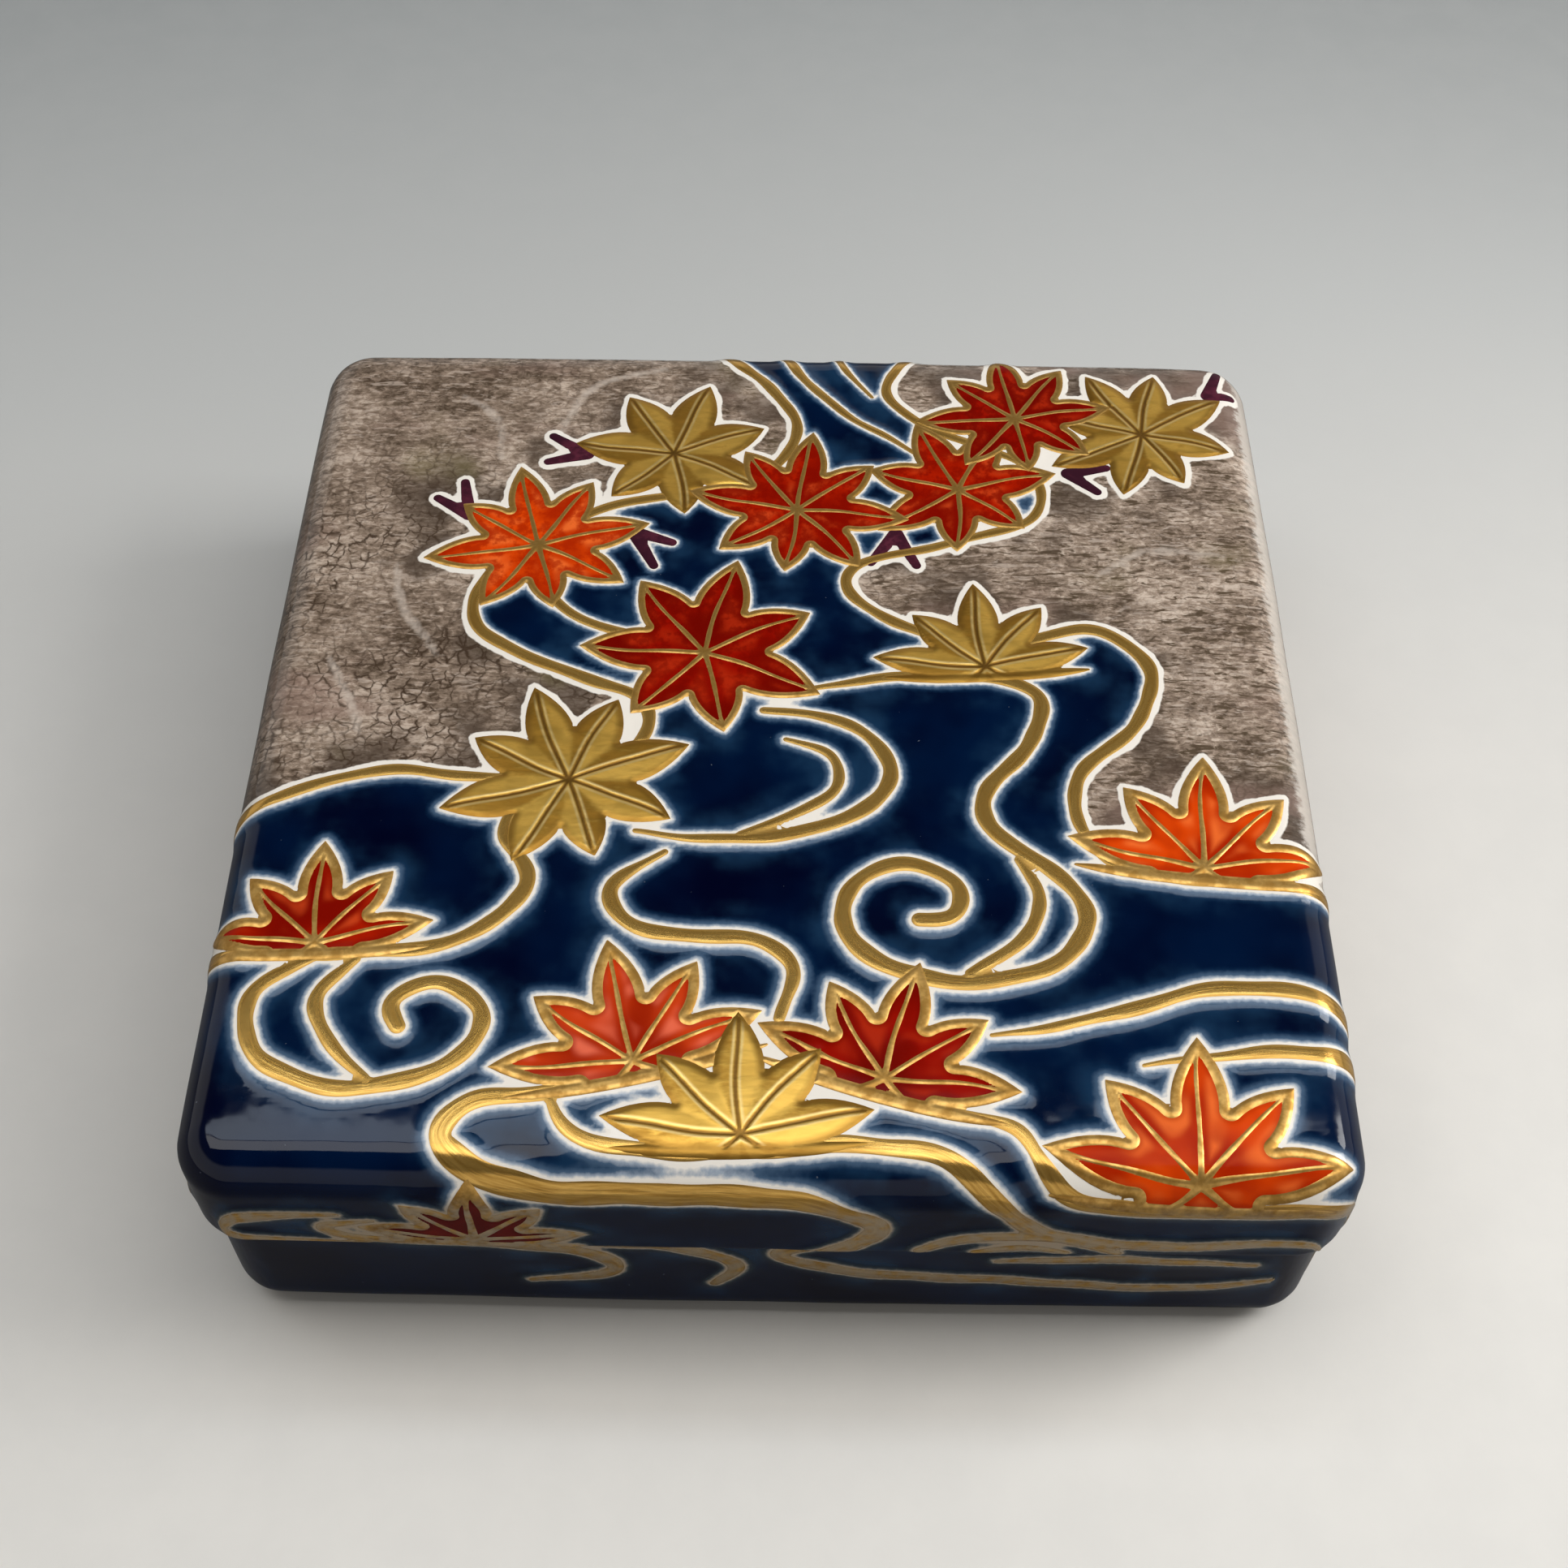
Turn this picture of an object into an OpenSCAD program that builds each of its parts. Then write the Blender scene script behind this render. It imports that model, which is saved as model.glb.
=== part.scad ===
/* [Outside] */
// Width of the lid, which is square in plan
body_w = 70; // [50:1:110]
// Height of the base, from the foot to the seam
base_h = 11.4; // [9:0.1:24]
// Height of the lid, from the seam to the top
lid_h = 8.5; // [7:0.1:18]
// Plan radius of the lid's corners
lid_corner_r = 3.6; // [1.5:0.1:8]
// Radius of the lid's soft top edge
lid_edge_r = 2.5; // [0.5:0.1:4]
// How far the lid stands out past the base on each side
overhang = 0.6; // [0:0.1:1.2]
// Plan radius of the base's corners
base_corner_r = 3.3; // [1.5:0.1:8]
// Radius that tucks the base in at its foot
foot_edge_r = 2.8; // [0.5:0.1:4]
// Radius on the two thin edges that meet at the seam
rim_r = 0.35; // [0.1:0.05:0.6]

/* [Walls] */
// Thickness of the base's wall
wall_t = 3.6; // [2.8:0.1:6]
// Thickness of the floor between the tray and the recess under the foot
floor_t = 3; // [1.5:0.1:5]
// Thickness of the lid's top
top_t = 3.2; // [1.8:0.1:4]
// Plan radius of the tray's corners
tray_corner_r = 3.6; // [2:0.1:10]
// Fillet where the tray's floor meets its walls
tray_fillet = 2; // [0.3:0.1:3.5]
// Fillet where the lid's ceiling meets its walls
ceiling_fillet = 1.4; // [0.3:0.1:2.5]

/* [Seat] */
// Height of the flange that stands up inside the lid
flange_h = 2.6; // [1:0.1:3.2]
// Thickness of the flange
flange_t = 1.6; // [0.8:0.1:2]
// Radius on both edges of the flange's lip
lip_r = 0.6; // [0.1:0.05:0.8]
// Gap between the flange and the lid on each side
seat_clear = 0.35; // [0.2:0.05:0.6]
// Bevel inside the lid's rim that guides it over the flange
mouth_bevel = 0.4; // [0.1:0.05:0.6]

/* [Foot] */
// Width of the flat ring that the base stands on
foot_ring_w = 5; // [2:0.5:12]
// Depth of the recess inside the foot ring
foot_recess = 0.8; // [0.3:0.1:2]
// Plan radius of the recess's corners
recess_corner_r = 3; // [1:0.5:10]
// Fillet round the ceiling of the recess
recess_fillet = 0.4; // [0.1:0.1:0.8]
// Bevel on the inner edge of the foot ring
foot_bevel = 0.25; // [0.1:0.05:0.4]

/* [Hidden] */
$fn = 72;

// Colours of the two pieces and how far a cutter runs out past the face that it opens
night_glaze = "#20283f";
dusk_glaze = "#6f675f";
run_out = 1;

// How far the flange is rooted in the wall below the seam
flange_root = 1;

// The base lies inside the lid's outline, and the tray inside the base's wall
base_w = body_w - 2 * overhang;
tray_w = base_w - 2 * wall_t;
tray_depth = base_h - foot_recess - floor_t;

// The lid's hollow is the flange's outline with the gap of the seat round it
flange_w = tray_w + 2 * flange_t;
flange_corner_r = tray_corner_r + flange_t;
hollow_w = flange_w + 2 * seat_clear;
hollow_corner_r = flange_corner_r + seat_clear;
hollow_depth = lid_h - top_t;

// An edge that is rounded in section can't be rounder than its corner is in plan
lid_top_r = min(lid_edge_r, lid_corner_r);
foot_r = min(foot_edge_r, base_corner_r);
tray_floor_r = min(tray_fillet, tray_corner_r);
recess_top_r = min(recess_fillet, foot_recess, recess_corner_r);
flange_lip_r = min(lip_r, flange_t / 2);
recess_w = base_w - 2 * (foot_r + foot_ring_w);

// What rounding takes off a square edge at the origin, with the body above it on the left
module round_off(r) {
    difference() {
        translate([-r, -run_out]) square([r + run_out, r + run_out]);
        translate([-r, r]) circle(r);
    }
}

// Sweeps a section round a square with rounded corners; x = 0 runs through the corners' centres
module sweep(straight) {
    for (turn = [0:90:270]) rotate(turn) translate([straight / 2, straight / 2, 0]) {
        rotate_extrude(angle = 90) children();
        rotate([90, 0, 0]) linear_extrude(straight) children();
    }
}

// Fills the middle that a section is swept round
module core(straight, low, high) {
    translate([-straight / 2, -straight / 2, low]) cube([straight, straight, high - low]);
}

// Solid cushion: rounded corners in plan, and rounded edges below and above
module cushion(side, corner_r, h, low_r, high_r) {
    straight = side - 2 * corner_r;
    sweep(straight) difference() {
        square([corner_r, h]);
        translate([corner_r, 0]) round_off(low_r);
        translate([corner_r, h]) mirror([0, 1]) round_off(high_r);
    }
    core(straight, 0, h);
}

// Hollow to cut upwards from z = 0, with a filleted ceiling and a bevelled mouth
module hollow(side, corner_r, depth, fillet, bevel) {
    straight = side - 2 * corner_r;
    sweep(straight) {
        difference() {
            translate([0, -run_out]) square([corner_r, depth + run_out]);
            translate([corner_r, depth]) mirror([0, 1]) round_off(fillet);
        }
        if (bevel > 0) polygon([
            [0, -run_out],
            [corner_r + bevel + run_out, -run_out],
            [corner_r, bevel],
            [0, bevel]
        ]);
    }
    core(straight, -run_out, depth);
}

// Flange with its inner face on the outline of the tray, and a lip rounded on both edges
module flange() {
    h = flange_root + flange_h;
    sweep(tray_w - 2 * tray_corner_r) translate([tray_corner_r, 0]) difference() {
        square([flange_t, h]);
        translate([flange_t, h]) mirror([0, 1]) round_off(flange_lip_r);
        translate([0, h]) mirror([1, 0]) mirror([0, 1]) round_off(flange_lip_r);
    }
}

// Tray with a tucked-in foot, a shallow recess under it, and a flange that the lid fits over
module base() {
    color(night_glaze) {
        difference() {
            cushion(base_w, base_corner_r, base_h, foot_r, rim_r);
            translate([0, 0, base_h]) mirror([0, 0, 1])
                hollow(tray_w, tray_corner_r, tray_depth, tray_floor_r, 0);
            hollow(recess_w, recess_corner_r, foot_recess, recess_top_r, foot_bevel);
        }
        translate([0, 0, base_h - flange_root]) flange();
    }
}

// Cap with a soft top edge, whose rim rests on the base's shoulder outside the flange
module lid() {
    color(dusk_glaze) translate([0, 0, base_h]) difference() {
        cushion(body_w, lid_corner_r, lid_h, rim_r, lid_top_r);
        hollow(hollow_w, hollow_corner_r, hollow_depth, ceiling_fillet, mouth_bevel);
    }
}

base();
lid();
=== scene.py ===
"""A flat square ceramic incense box: a glazed tray and a lift-off lid, painted with maple leaves
adrift on a stream in raised gold lines and red enamel.

The painting is laid out on one flat plan, in millimetres. The plan covers the lid's top and, past
its edges, folds down over the walls of the lid and the base. Every stroke, leaf and glaze edge is
drawn on the plan first and then wrapped round the box.
"""

import math

import bpy
import numpy as np
from mathutils import Matrix, Vector


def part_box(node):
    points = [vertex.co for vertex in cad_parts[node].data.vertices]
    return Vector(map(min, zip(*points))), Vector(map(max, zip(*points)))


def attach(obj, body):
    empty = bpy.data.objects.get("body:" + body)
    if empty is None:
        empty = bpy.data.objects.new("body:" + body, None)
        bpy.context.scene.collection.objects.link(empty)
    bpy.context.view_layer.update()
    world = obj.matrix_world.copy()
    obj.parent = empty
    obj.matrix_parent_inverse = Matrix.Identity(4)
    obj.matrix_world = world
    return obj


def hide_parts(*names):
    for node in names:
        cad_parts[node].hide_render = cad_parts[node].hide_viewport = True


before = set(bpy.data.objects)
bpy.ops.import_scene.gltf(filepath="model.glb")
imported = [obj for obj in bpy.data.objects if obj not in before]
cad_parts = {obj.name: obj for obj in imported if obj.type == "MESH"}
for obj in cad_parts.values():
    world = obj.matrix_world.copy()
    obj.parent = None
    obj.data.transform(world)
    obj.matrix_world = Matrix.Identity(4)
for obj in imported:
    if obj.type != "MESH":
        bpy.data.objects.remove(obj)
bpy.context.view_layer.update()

# Sizes in millimetres, read from the boxes of the model's nodes where they give them
MM = 0.001
LID_LOW, LID_HIGH = (np.array(v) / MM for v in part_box("lid"))
BASE_HIGH = np.array(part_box("base")[1]) / MM
HALF = LID_HIGH[0]
TOP = LID_HIGH[2]
SEAM = LID_LOW[2]
BASE_HALF = BASE_HIGH[0]
FLANGE_TOP = BASE_HIGH[2]

# Sizes that the boxes don't give, as the solids have them
EDGE_R = 2.5
CORNER_R = 3.6
RIM_R = 0.35
BASE_CORNER_R = 3.3
FOOT_R = 2.8
TRAY_HALF = 30.8
TRAY_CORNER_R = 3.6
TRAY_FLOOR = 3.8
TRAY_FILLET = 2.0
FLANGE_T = 1.6
LIP_R = 0.6
SEAT_CLEAR = 0.35
CEILING = 16.7
CEILING_FILLET = 1.4
MOUTH_BEVEL = 0.4
FOOT_RING_W = 5.0
FOOT_RECESS = 0.8
FOOT_MIDDLE = 2.0
FOOT_BEVEL = 0.25
RECESS_CORNER_R = 3.0
RECESS_FILLET = 0.4
TRAY_ANCHOR = TRAY_HALF - TRAY_CORNER_R
SEAT_CORNER_R = TRAY_CORNER_R + FLANGE_T
HOLLOW_CORNER_R = SEAT_CORNER_R + SEAT_CLEAR

# The soft hand-made form: a top that falls towards its edges, sides that bow, and an uneven glaze
CROWN = 0.42
CROWN_POWER = 16
BOW = 0.16
SWELL = 0.009
WANDER = 0.06
SMOOTHING = 12

# The plan: a flat square with small rounded corners, then the run down the edge and the walls
FLAT_HALF = HALF - EDGE_R
FLAT_R = CORNER_R - EDGE_R
ANCHOR = HALF - CORNER_R
EDGE_RUN = EDGE_R * math.pi / 2
SEAM_RUN = EDGE_RUN + TOP - SEAM - EDGE_R
FOOT_RUN = SEAM_RUN + SEAM - FOOT_R
END_RUN = FOOT_RUN + FOOT_R * math.pi / 2
FAR = 9.0

# Grid steps, chosen so that a grid line lies on the seam
SEAM_AT = FLAT_HALF + SEAM_RUN
PLAN_STEP = SEAM_AT / 265
LEAF_STEP = SEAM_AT / 386

# How far raised work stands above the glaze, and how far it is rooted below
SLIP_RISE = 0.10
SLIP_REACH = 0.95
LINE_RISE = 0.034
NET_RISE = 0.065
ENAMEL_RISE = 0.035
ROOT = 0.06
HEM = 0.012
# How broadly raised edges are rounded, and how far they reach under what lies over them
LINE_ROUND = 0.32
TWIG_ROUND = 0.35
GOLD_ROUND = 0.45
NET_ROUND = 0.3
ENAMEL_ROUND = 0.8
TUCK = 0.1
DEEP_TUCK = 0.2
# A relief of fewer cells than this isn't made
FEWEST_CELLS = 4


# The plan and its mapping onto the box

def swell(x, y):
    """Slow unevenness of the glaze at plan points"""
    a = np.sin(0.31 * x + 0.17 * y + 1.0) + np.sin(0.13 * x - 0.37 * y + 2.2)
    b = np.sin(0.52 * x + 0.09 * y + 4.0) * np.sin(0.11 * x + 0.47 * y + 0.7)
    return SWELL * (a + 1.5 * b)


def run_of(x, y):
    """How far a plan point lies past the lid's flat top"""
    ax, ay = np.clip(x, -ANCHOR, ANCHOR), np.clip(y, -ANCHOR, ANCHOR)
    return np.maximum(np.hypot(x - ax, y - ay) - FLAT_R, 0)


def rim_round(depth):
    """How far a rim's small rounding draws a wall in at a depth below its edge"""
    d = np.clip(RIM_R - depth, 0, RIM_R)
    return RIM_R - np.sqrt(np.maximum(RIM_R ** 2 - d ** 2, 0))


def wrap(x, y, h, part):
    """Where plan points raised by h lie on the lid or the base: an array of x, y, z"""
    x, y = np.asarray(x, float), np.asarray(y, float)
    ax, ay = np.clip(x, -ANCHOR, ANCHOR), np.clip(y, -ANCHOR, ANCHOR)
    vx, vy = x - ax, y - ay
    r = np.hypot(vx, vy)
    nx, ny = vx / np.maximum(r, 1e-9), vy / np.maximum(r, 1e-9)
    run = np.maximum(r - FLAT_R, 0)
    lift = (h + swell(x, y)) * np.clip(END_RUN - run, 0, 1) ** 2
    if part == "lid":
        run = np.minimum(run, SEAM_RUN)
        tilt = np.clip(run / EDGE_R, 0, math.pi / 2)
        reach = np.where(run > 0, FLAT_R + EDGE_R * np.sin(tilt), r)
        z = TOP - EDGE_R * (1 - np.cos(tilt)) - np.maximum(run - EDGE_RUN, 0)
        reach = reach - rim_round(SEAM_RUN - run)
        level = np.minimum(np.abs([x, y]) / HALF, 1)
        z = z - CROWN * (level ** CROWN_POWER).sum(axis=0) * (z - SEAM) / (TOP - SEAM)
        share = 1.0
    else:
        run = np.maximum(run, SEAM_RUN)
        depth = run - SEAM_RUN
        turn = np.clip((run - FOOT_RUN) / FOOT_R, 0, math.pi / 2)
        reach = BASE_CORNER_R - FOOT_R * (1 - np.cos(turn)) - rim_round(depth)
        z = np.where(turn > 0, FOOT_R * (1 - np.sin(turn)), SEAM - depth)
        tilt = math.pi / 2 + turn
        share = (BASE_HALF - BASE_CORNER_R) / ANCHOR
    bow = BOW * np.sin(np.minimum(tilt, math.pi / 2))
    side_x = bow * (0.5 - (ay / ANCHOR) ** 2)
    side_y = bow * (0.5 - (ax / ANCHOR) ** 2)
    out = reach + lift * np.sin(tilt)
    return np.stack([
        ax * share + nx * (out + side_x),
        ay * share + ny * (out + side_y),
        z + lift * np.cos(tilt),
    ], axis=-1)


class Grid:
    """A square grid of plan points that distances are drawn on"""

    def __init__(self, low, high, step):
        i = np.arange(math.floor(low[0] / step), math.ceil(high[0] / step) + 1)
        j = np.arange(math.floor(low[1] / step), math.ceil(high[1] / step) + 1)
        self.step, self.x, self.y = step, i * step, j * step
        self.X, self.Y = np.meshgrid(self.x, self.y)

    def window(self, low, high):
        """The slices of rows and columns that hold a box"""
        i = np.searchsorted(self.x, (low[0], high[0]))
        j = np.searchsorted(self.y, (low[1], high[1]))
        return slice(j[0], j[1]), slice(i[0], i[1])

    def sample(self, field, x, y):
        """A field's values at any points, between the grid's"""
        u = np.clip((x - self.x[0]) / self.step, 0, len(self.x) - 1.001)
        v = np.clip((y - self.y[0]) / self.step, 0, len(self.y) - 1.001)
        i, j = u.astype(int), v.astype(int)
        u, v = u - i, v - j
        low = field[j, i] * (1 - u) + field[j, i + 1] * u
        high = field[j + 1, i] * (1 - u) + field[j + 1, i + 1] * u
        return low * (1 - v) + high * v

    def inside(self, outline):
        """True at the points that lie inside a closed outline"""
        crossings = np.zeros((len(self.y), len(self.x) + 1), np.int32)
        for (xa, ya), (xb, yb) in zip(outline, np.roll(outline, -1, axis=0)):
            if ya > yb:
                xa, ya, xb, yb = xb, yb, xa, ya
            rows = np.nonzero((self.y >= ya) & (self.y < yb))[0]
            if len(rows):
                at = xa + (self.y[rows] - ya) / (yb - ya) * (xb - xa)
                np.add.at(crossings, (rows, np.searchsorted(self.x, at)), 1)
        return np.cumsum(crossings, axis=1)[:, :-1] % 2 == 1


def curve(points, step=0.3):
    """A smooth path through rows of x, y and width, with the slight wander of a hand"""
    p = np.array(points, float)
    p = np.vstack([2 * p[0] - p[1], p, 2 * p[-1] - p[-2]])
    parts = []
    for a, b, c, d in zip(p, p[1:], p[2:], p[3:]):
        n = max(2, int(math.dist(b[:2], c[:2]) / step))
        t = np.linspace(0, 1, n, endpoint=False)[:, None]
        bend = 2 * a - 5 * b + 4 * c - d + t * (3 * (b - c) + d - a)
        parts.append(b + 0.5 * t * (c - a + t * bend))
    path = np.vstack(parts + [p[-2:-1]])
    for _ in range(SMOOTHING):
        path[1:-1] = (path[:-2] + 2 * path[1:-1] + path[2:]) / 4
    x, y = path[:, 0].copy(), path[:, 1].copy()
    path[:, 0] += WANDER * np.sin(0.9 * y + 0.4 * x)
    path[:, 1] += WANDER * np.sin(1.1 * x - 0.5 * y)
    path[:, 2] *= 0.90 + 0.10 * np.sin(0.8 * x + 1.1 * y) * np.sin(1.7 * y - 0.6 * x)
    path[:, 2] *= 1 + 0.3 * np.clip(run_of(x, y) / 4, 0, 1)
    return path


class Strokes:
    """Distance to the nearest edge of some strokes, and the place along and across them"""

    def __init__(self, grid, paths, reach=3.2):
        self.grid, self.reach, self.drawn = grid, reach, 0.0
        self.gap = np.full(grid.X.shape, FAR)
        self.along = np.zeros(grid.X.shape)
        self.across = np.zeros(grid.X.shape)
        for path in paths:
            self.draw(path)

    def draw(self, path):
        """Adds a stroke along the rows of a path"""
        for a, b in zip(path, path[1:]):
            pad = self.reach + max(a[2], b[2]) / 2
            w = self.grid.window(np.minimum(a, b)[:2] - pad, np.maximum(a, b)[:2] + pad)
            d = b[:2] - a[:2]
            length = math.hypot(*d)
            if length < 1e-9 or self.gap[w].size == 0:
                continue
            px, py = self.grid.X[w] - a[0], self.grid.Y[w] - a[1]
            t = np.clip((px * d[0] + py * d[1]) / length ** 2, 0, 1)
            off = np.hypot(px - t * d[0], py - t * d[1])
            gap = off - (a[2] + (b[2] - a[2]) * t) / 2
            near = gap < self.gap[w]
            self.gap[w] = np.where(near, gap, self.gap[w])
            self.along[w] = np.where(near, self.drawn + t * length, self.along[w])
            side = np.sign(px * d[1] - py * d[0])
            self.across[w] = np.where(near, side * off, self.across[w])
            self.drawn += length
        self.drawn += 5


# The painting, as rows of x, y and width

LEFT_BANK = [
    (-3, 57, 0.8), (-3.5, 46, 0.8), (-5, 40, 0.8), (-4.5, 34.5, 0.9), (-1, 30, 0.9), (1, 25.5, 0.9),
    (-3, 20, 0.9), (-12, 18, 0.9), (-20, 12, 0.9), (-20.8, 6.5, 1), (-15.5, 3, 1), (-9, 0, 1),
    (-10, -4.5, 0.9), (-17, -6.5, 0.8), (-26, -6, 0.9), (-34, -9, 0.9), (-42, -11.5, 0.8),
    (-50, -11, 0.8), (-57, -12, 0.8),
]
RIGHT_BANK = [
    (9, 57, 0.8), (9.5, 46, 0.8), (11.5, 40, 0.8), (9.5, 35, 0.8), (7.5, 30, 0.8), (11, 26, 0.8),
    (17.5, 22.5, 0.8), (18, 17.5, 0.8), (11, 14.5, 0.8), (5, 12.5, 0.8), (5, 9.5, 0.9),
    (9.5, 6.5, 0.9), (14, 5, 0.9), (21, 7, 1), (25, 3.5, 1.1), (23.5, -1.5, 1.1), (19.5, -5.5, 1),
    (19.4, -9.6, 0.9), (22, -12.8, 0.9), (27, -13.6, 0.9), (33.4, -13.9, 0.9), (42, -14.4, 0.9),
    (50, -16, 0.8), (57, -17, 0.8),
]
WATER_LINES = {
    "brook_a": [(0, 54, 0.4), (0.5, 44, 0.7), (-0.5, 38, 0.8), (0.5, 33, 0.8), (4, 28, 0.7),
        (8.5, 24.5, 0.5), (11.5, 22, 0.2)],
    "brook_b": [(5, 53, 0.3), (5.5, 44, 0.6), (4.5, 38, 0.7), (4, 33.5, 0.6), (6.5, 29.5, 0.3)],
    "pool": [(-15.5, 15, 0.7), (-17, 11, 0.8), (-13.5, 7, 0.8), (-8, 5.5, 0.8)],
    "eddy_out": [(-1, -0.5, 0.6), (4.5, -1.5, 0.9), (7.5, -5.5, 1.1), (4, -9.5, 1.1), (-3, -11, 0.9),
        (-9, -10.5, 0.4)],
    "eddy_in": [(0.5, -3, 0.4), (3.5, -4, 0.7), (3.8, -7, 0.9), (1, -9, 0.8), (-2.4, -10.6, 0.5)],
    "shore": [(1.6, 1.2, 0.4), (6.8, 2.4, 0.9), (10.5, 2.5, 0.9), (14.6, 2.5, 1), (17.4, 1, 1.1),
        (16.6, -3, 1.1), (13.6, -6.6, 1.2), (13.6, -9.9, 1.2), (17.3, -13, 1.2), (19.5, -16.5, 1.2),
        (16.5, -20.3, 1.2), (10, -21.2, 1.3), (4.8, -18.6, 1.3), (4.6, -14.5, 1.2), (8.4, -12.6, 1.1),
        (11.6, -14.4, 1.1), (11, -16.8, 1.1), (8.9, -16.8, 1.2)],
    "curl_in": [(15.2, -12.2, 0.6), (16.6, -15, 0.9), (15.5, -18, 1), (12, -20.6, 0.8)],
    "left_wave": [(-57, -22, 0.8), (-46, -21, 0.9), (-38.5, -19.8, 1), (-32, -20.1, 1),
        (-24.4, -19.8, 1), (-19, -18.6, 1.1), (-15.4, -14.6, 1.1), (-17.5, -10.8, 1),
        (-16.5, -8.2, 0.6)],
    "left_curl": [(-28, -20, 0.9), (-31.5, -23, 1.1), (-30.5, -27.2, 1.2), (-25, -29.2, 1.2),
        (-19, -27.4, 1.2), (-17.4, -23.8, 1.2), (-20.4, -21.8, 1.1), (-23.2, -23.2, 1.1),
        (-22.4, -25, 1.2)],
    "left_curl_in": [(-25.5, -20.4, 0.7), (-27.6, -23, 1), (-26.4, -26, 1), (-23.8, -28.6, 0.6)],
    "middle": [(-7, -12, 0.5), (-10.5, -15, 1.1), (-8, -18, 1.1), (-1.5, -18.4, 1.1), (1.2, -20.4, 1),
        (0.4, -24, 0.8)],
    "bow": [(-5.5, -27.5, 0.8), (-12.2, -29.1, 1), (-17.4, -29.8, 1.3), (-19.2, -32.4, 1.5),
        (-14, -35, 1.6), (-5, -35.2, 1.4), (2, -35.6, 1.3), (6.5, -38.6, 1.3), (4, -42, 1.1),
        (0.5, -44, 1), (5, -46.4, 0.9), (14, -47.4, 0.8), (25, -48.4, 0.7), (32, -47, 0.3)],
    "shelf": [(-13, -29.4, 0.5), (-11.8, -31.6, 1), (-8, -32.7, 1), (-1.8, -32.7, 1), (5, -32.2, 1.2),
        (10.4, -33, 1.2), (13.6, -36, 1.2), (16.4, -39.2, 1.1), (23, -40.8, 0.9), (31, -40.2, 0.7),
        (37, -41, 0.3)],
    "rill_a": [(13, -25, 0.3), (19, -23.8, 0.9), (26, -21.6, 1.1), (32, -21.6, 1.1), (40, -24, 1),
        (50, -25, 0.7), (56, -24, 0.3)],
    "rill_b": [(22, -26.8, 0.3), (29, -25.8, 0.9), (36, -26, 1.1), (44, -28, 0.8), (50, -27.4, 0.3)],
    "cape": [(10.4, -30.1, 0.6), (14.2, -30.9, 0.9), (15.4, -33, 1), (17.6, -35.2, 1.1),
        (21.4, -35.8, 1.1), (26, -36, 1.2), (33, -35.8, 1.2), (40, -35.4, 1), (49, -36.4, 0.7),
        (55, -35, 0.3)],
    "dash_a": [(-25.4, -38.2, 0.3), (-31, -38.8, 1), (-34.8, -40.6, 1), (-31, -42, 0.8),
        (-24, -42.2, 0.4)],
    "dash_b": [(-23.4, -39, 0.3), (-26.6, -39.8, 0.8), (-25, -41.3, 0.8), (-20.4, -42, 0.7),
        (-13, -42, 0.5)],
    "arch": [(9, -41.8, 0.6), (11, -40.3, 0.9), (15, -39.5, 0.9), (19, -40.6, 0.8),
        (20.7, -41.8, 0.6)],
    "arch_in": [(12.3, -41.9, 0.4), (15, -41, 0.7), (17.7, -41.9, 0.4)],
    "base_hook_a": [(-24, -43, 0.6), (-16, -43.2, 1), (-10.5, -44.6, 1), (-9.6, -47, 0.9),
        (-15, -48.6, 0.4)],
    "base_hook_b": [(-12, -42.9, 0.5), (-5.5, -43.4, 0.9), (-2, -45.8, 0.9), (-3.4, -48.6, 0.5)],
    "base_dash": [(14, -44.6, 0.3), (21, -44.2, 0.8), (30, -44.8, 0.3)],
    "left_side": [(-41.2, -20.6, 0.6), (-40.2, -23.6, 0.8), (-39, -27.4, 0.9), (-39.8, -31, 0.8),
        (-39, -35, 0.3)],
    "left_side_low": [(-44.4, -21, 0.6), (-46.6, -23.8, 0.9), (-46.4, -28, 0.9), (-45.2, -32, 0.7),
        (-45.8, -35, 0.3)],
    "left_side_far": [(-44.6, -11.4, 0.5), (-46.4, -13.6, 0.9), (-45.6, -16.6, 0.8),
        (-46.2, -19, 0.3)],
}

# Long pale scuffs in the taupe glaze
SCUFFS = [
    [(-24, 29, 0.1), (-21.5, 27, 0.3), (-20.6, 22.5, 0.1)],
    [(-27, 12, 0.1), (-26, 8, 0.35), (-23.4, 4, 0.1)],
    [(-16.5, 25, 0.1), (-14.6, 30, 0.3), (-9, 32.5, 0.1)],
    [(-30.5, 3.5, 0.1), (-28.5, -0.5, 0.3), (-27.6, -3, 0.1)],
    [(22, 12, 0.1), (26, 14.5, 0.25), (31, 14, 0.1)],
]

# A leaf's lobes as rows of the angle from the middle lobe, in degrees, and the share of its radius
EIGHT_LOBES = [
    (0, 1), (42, 0.88), (86, 1.03), (134, 0.86), (180, 0.76), (227, 0.9), (272, 1.02), (317, 0.9),
]
SEVEN_LOBES = [(0, 1.02), (50, 0.93), (101, 1), (153, 0.84), (207, 0.82), (260, 1.02), (311, 0.95)]
FLOAT_LOBES = [
    (0, 1), (42, 0.88), (80, 1), (128, 0.5), (180, 0.35), (232, 0.5), (281, 0.97), (319, 0.9),
]
# How deep the notches between lobes reach, and how far the lobes' sides swell
NOTCH = 0.55
BULGE = 0.09

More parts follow.
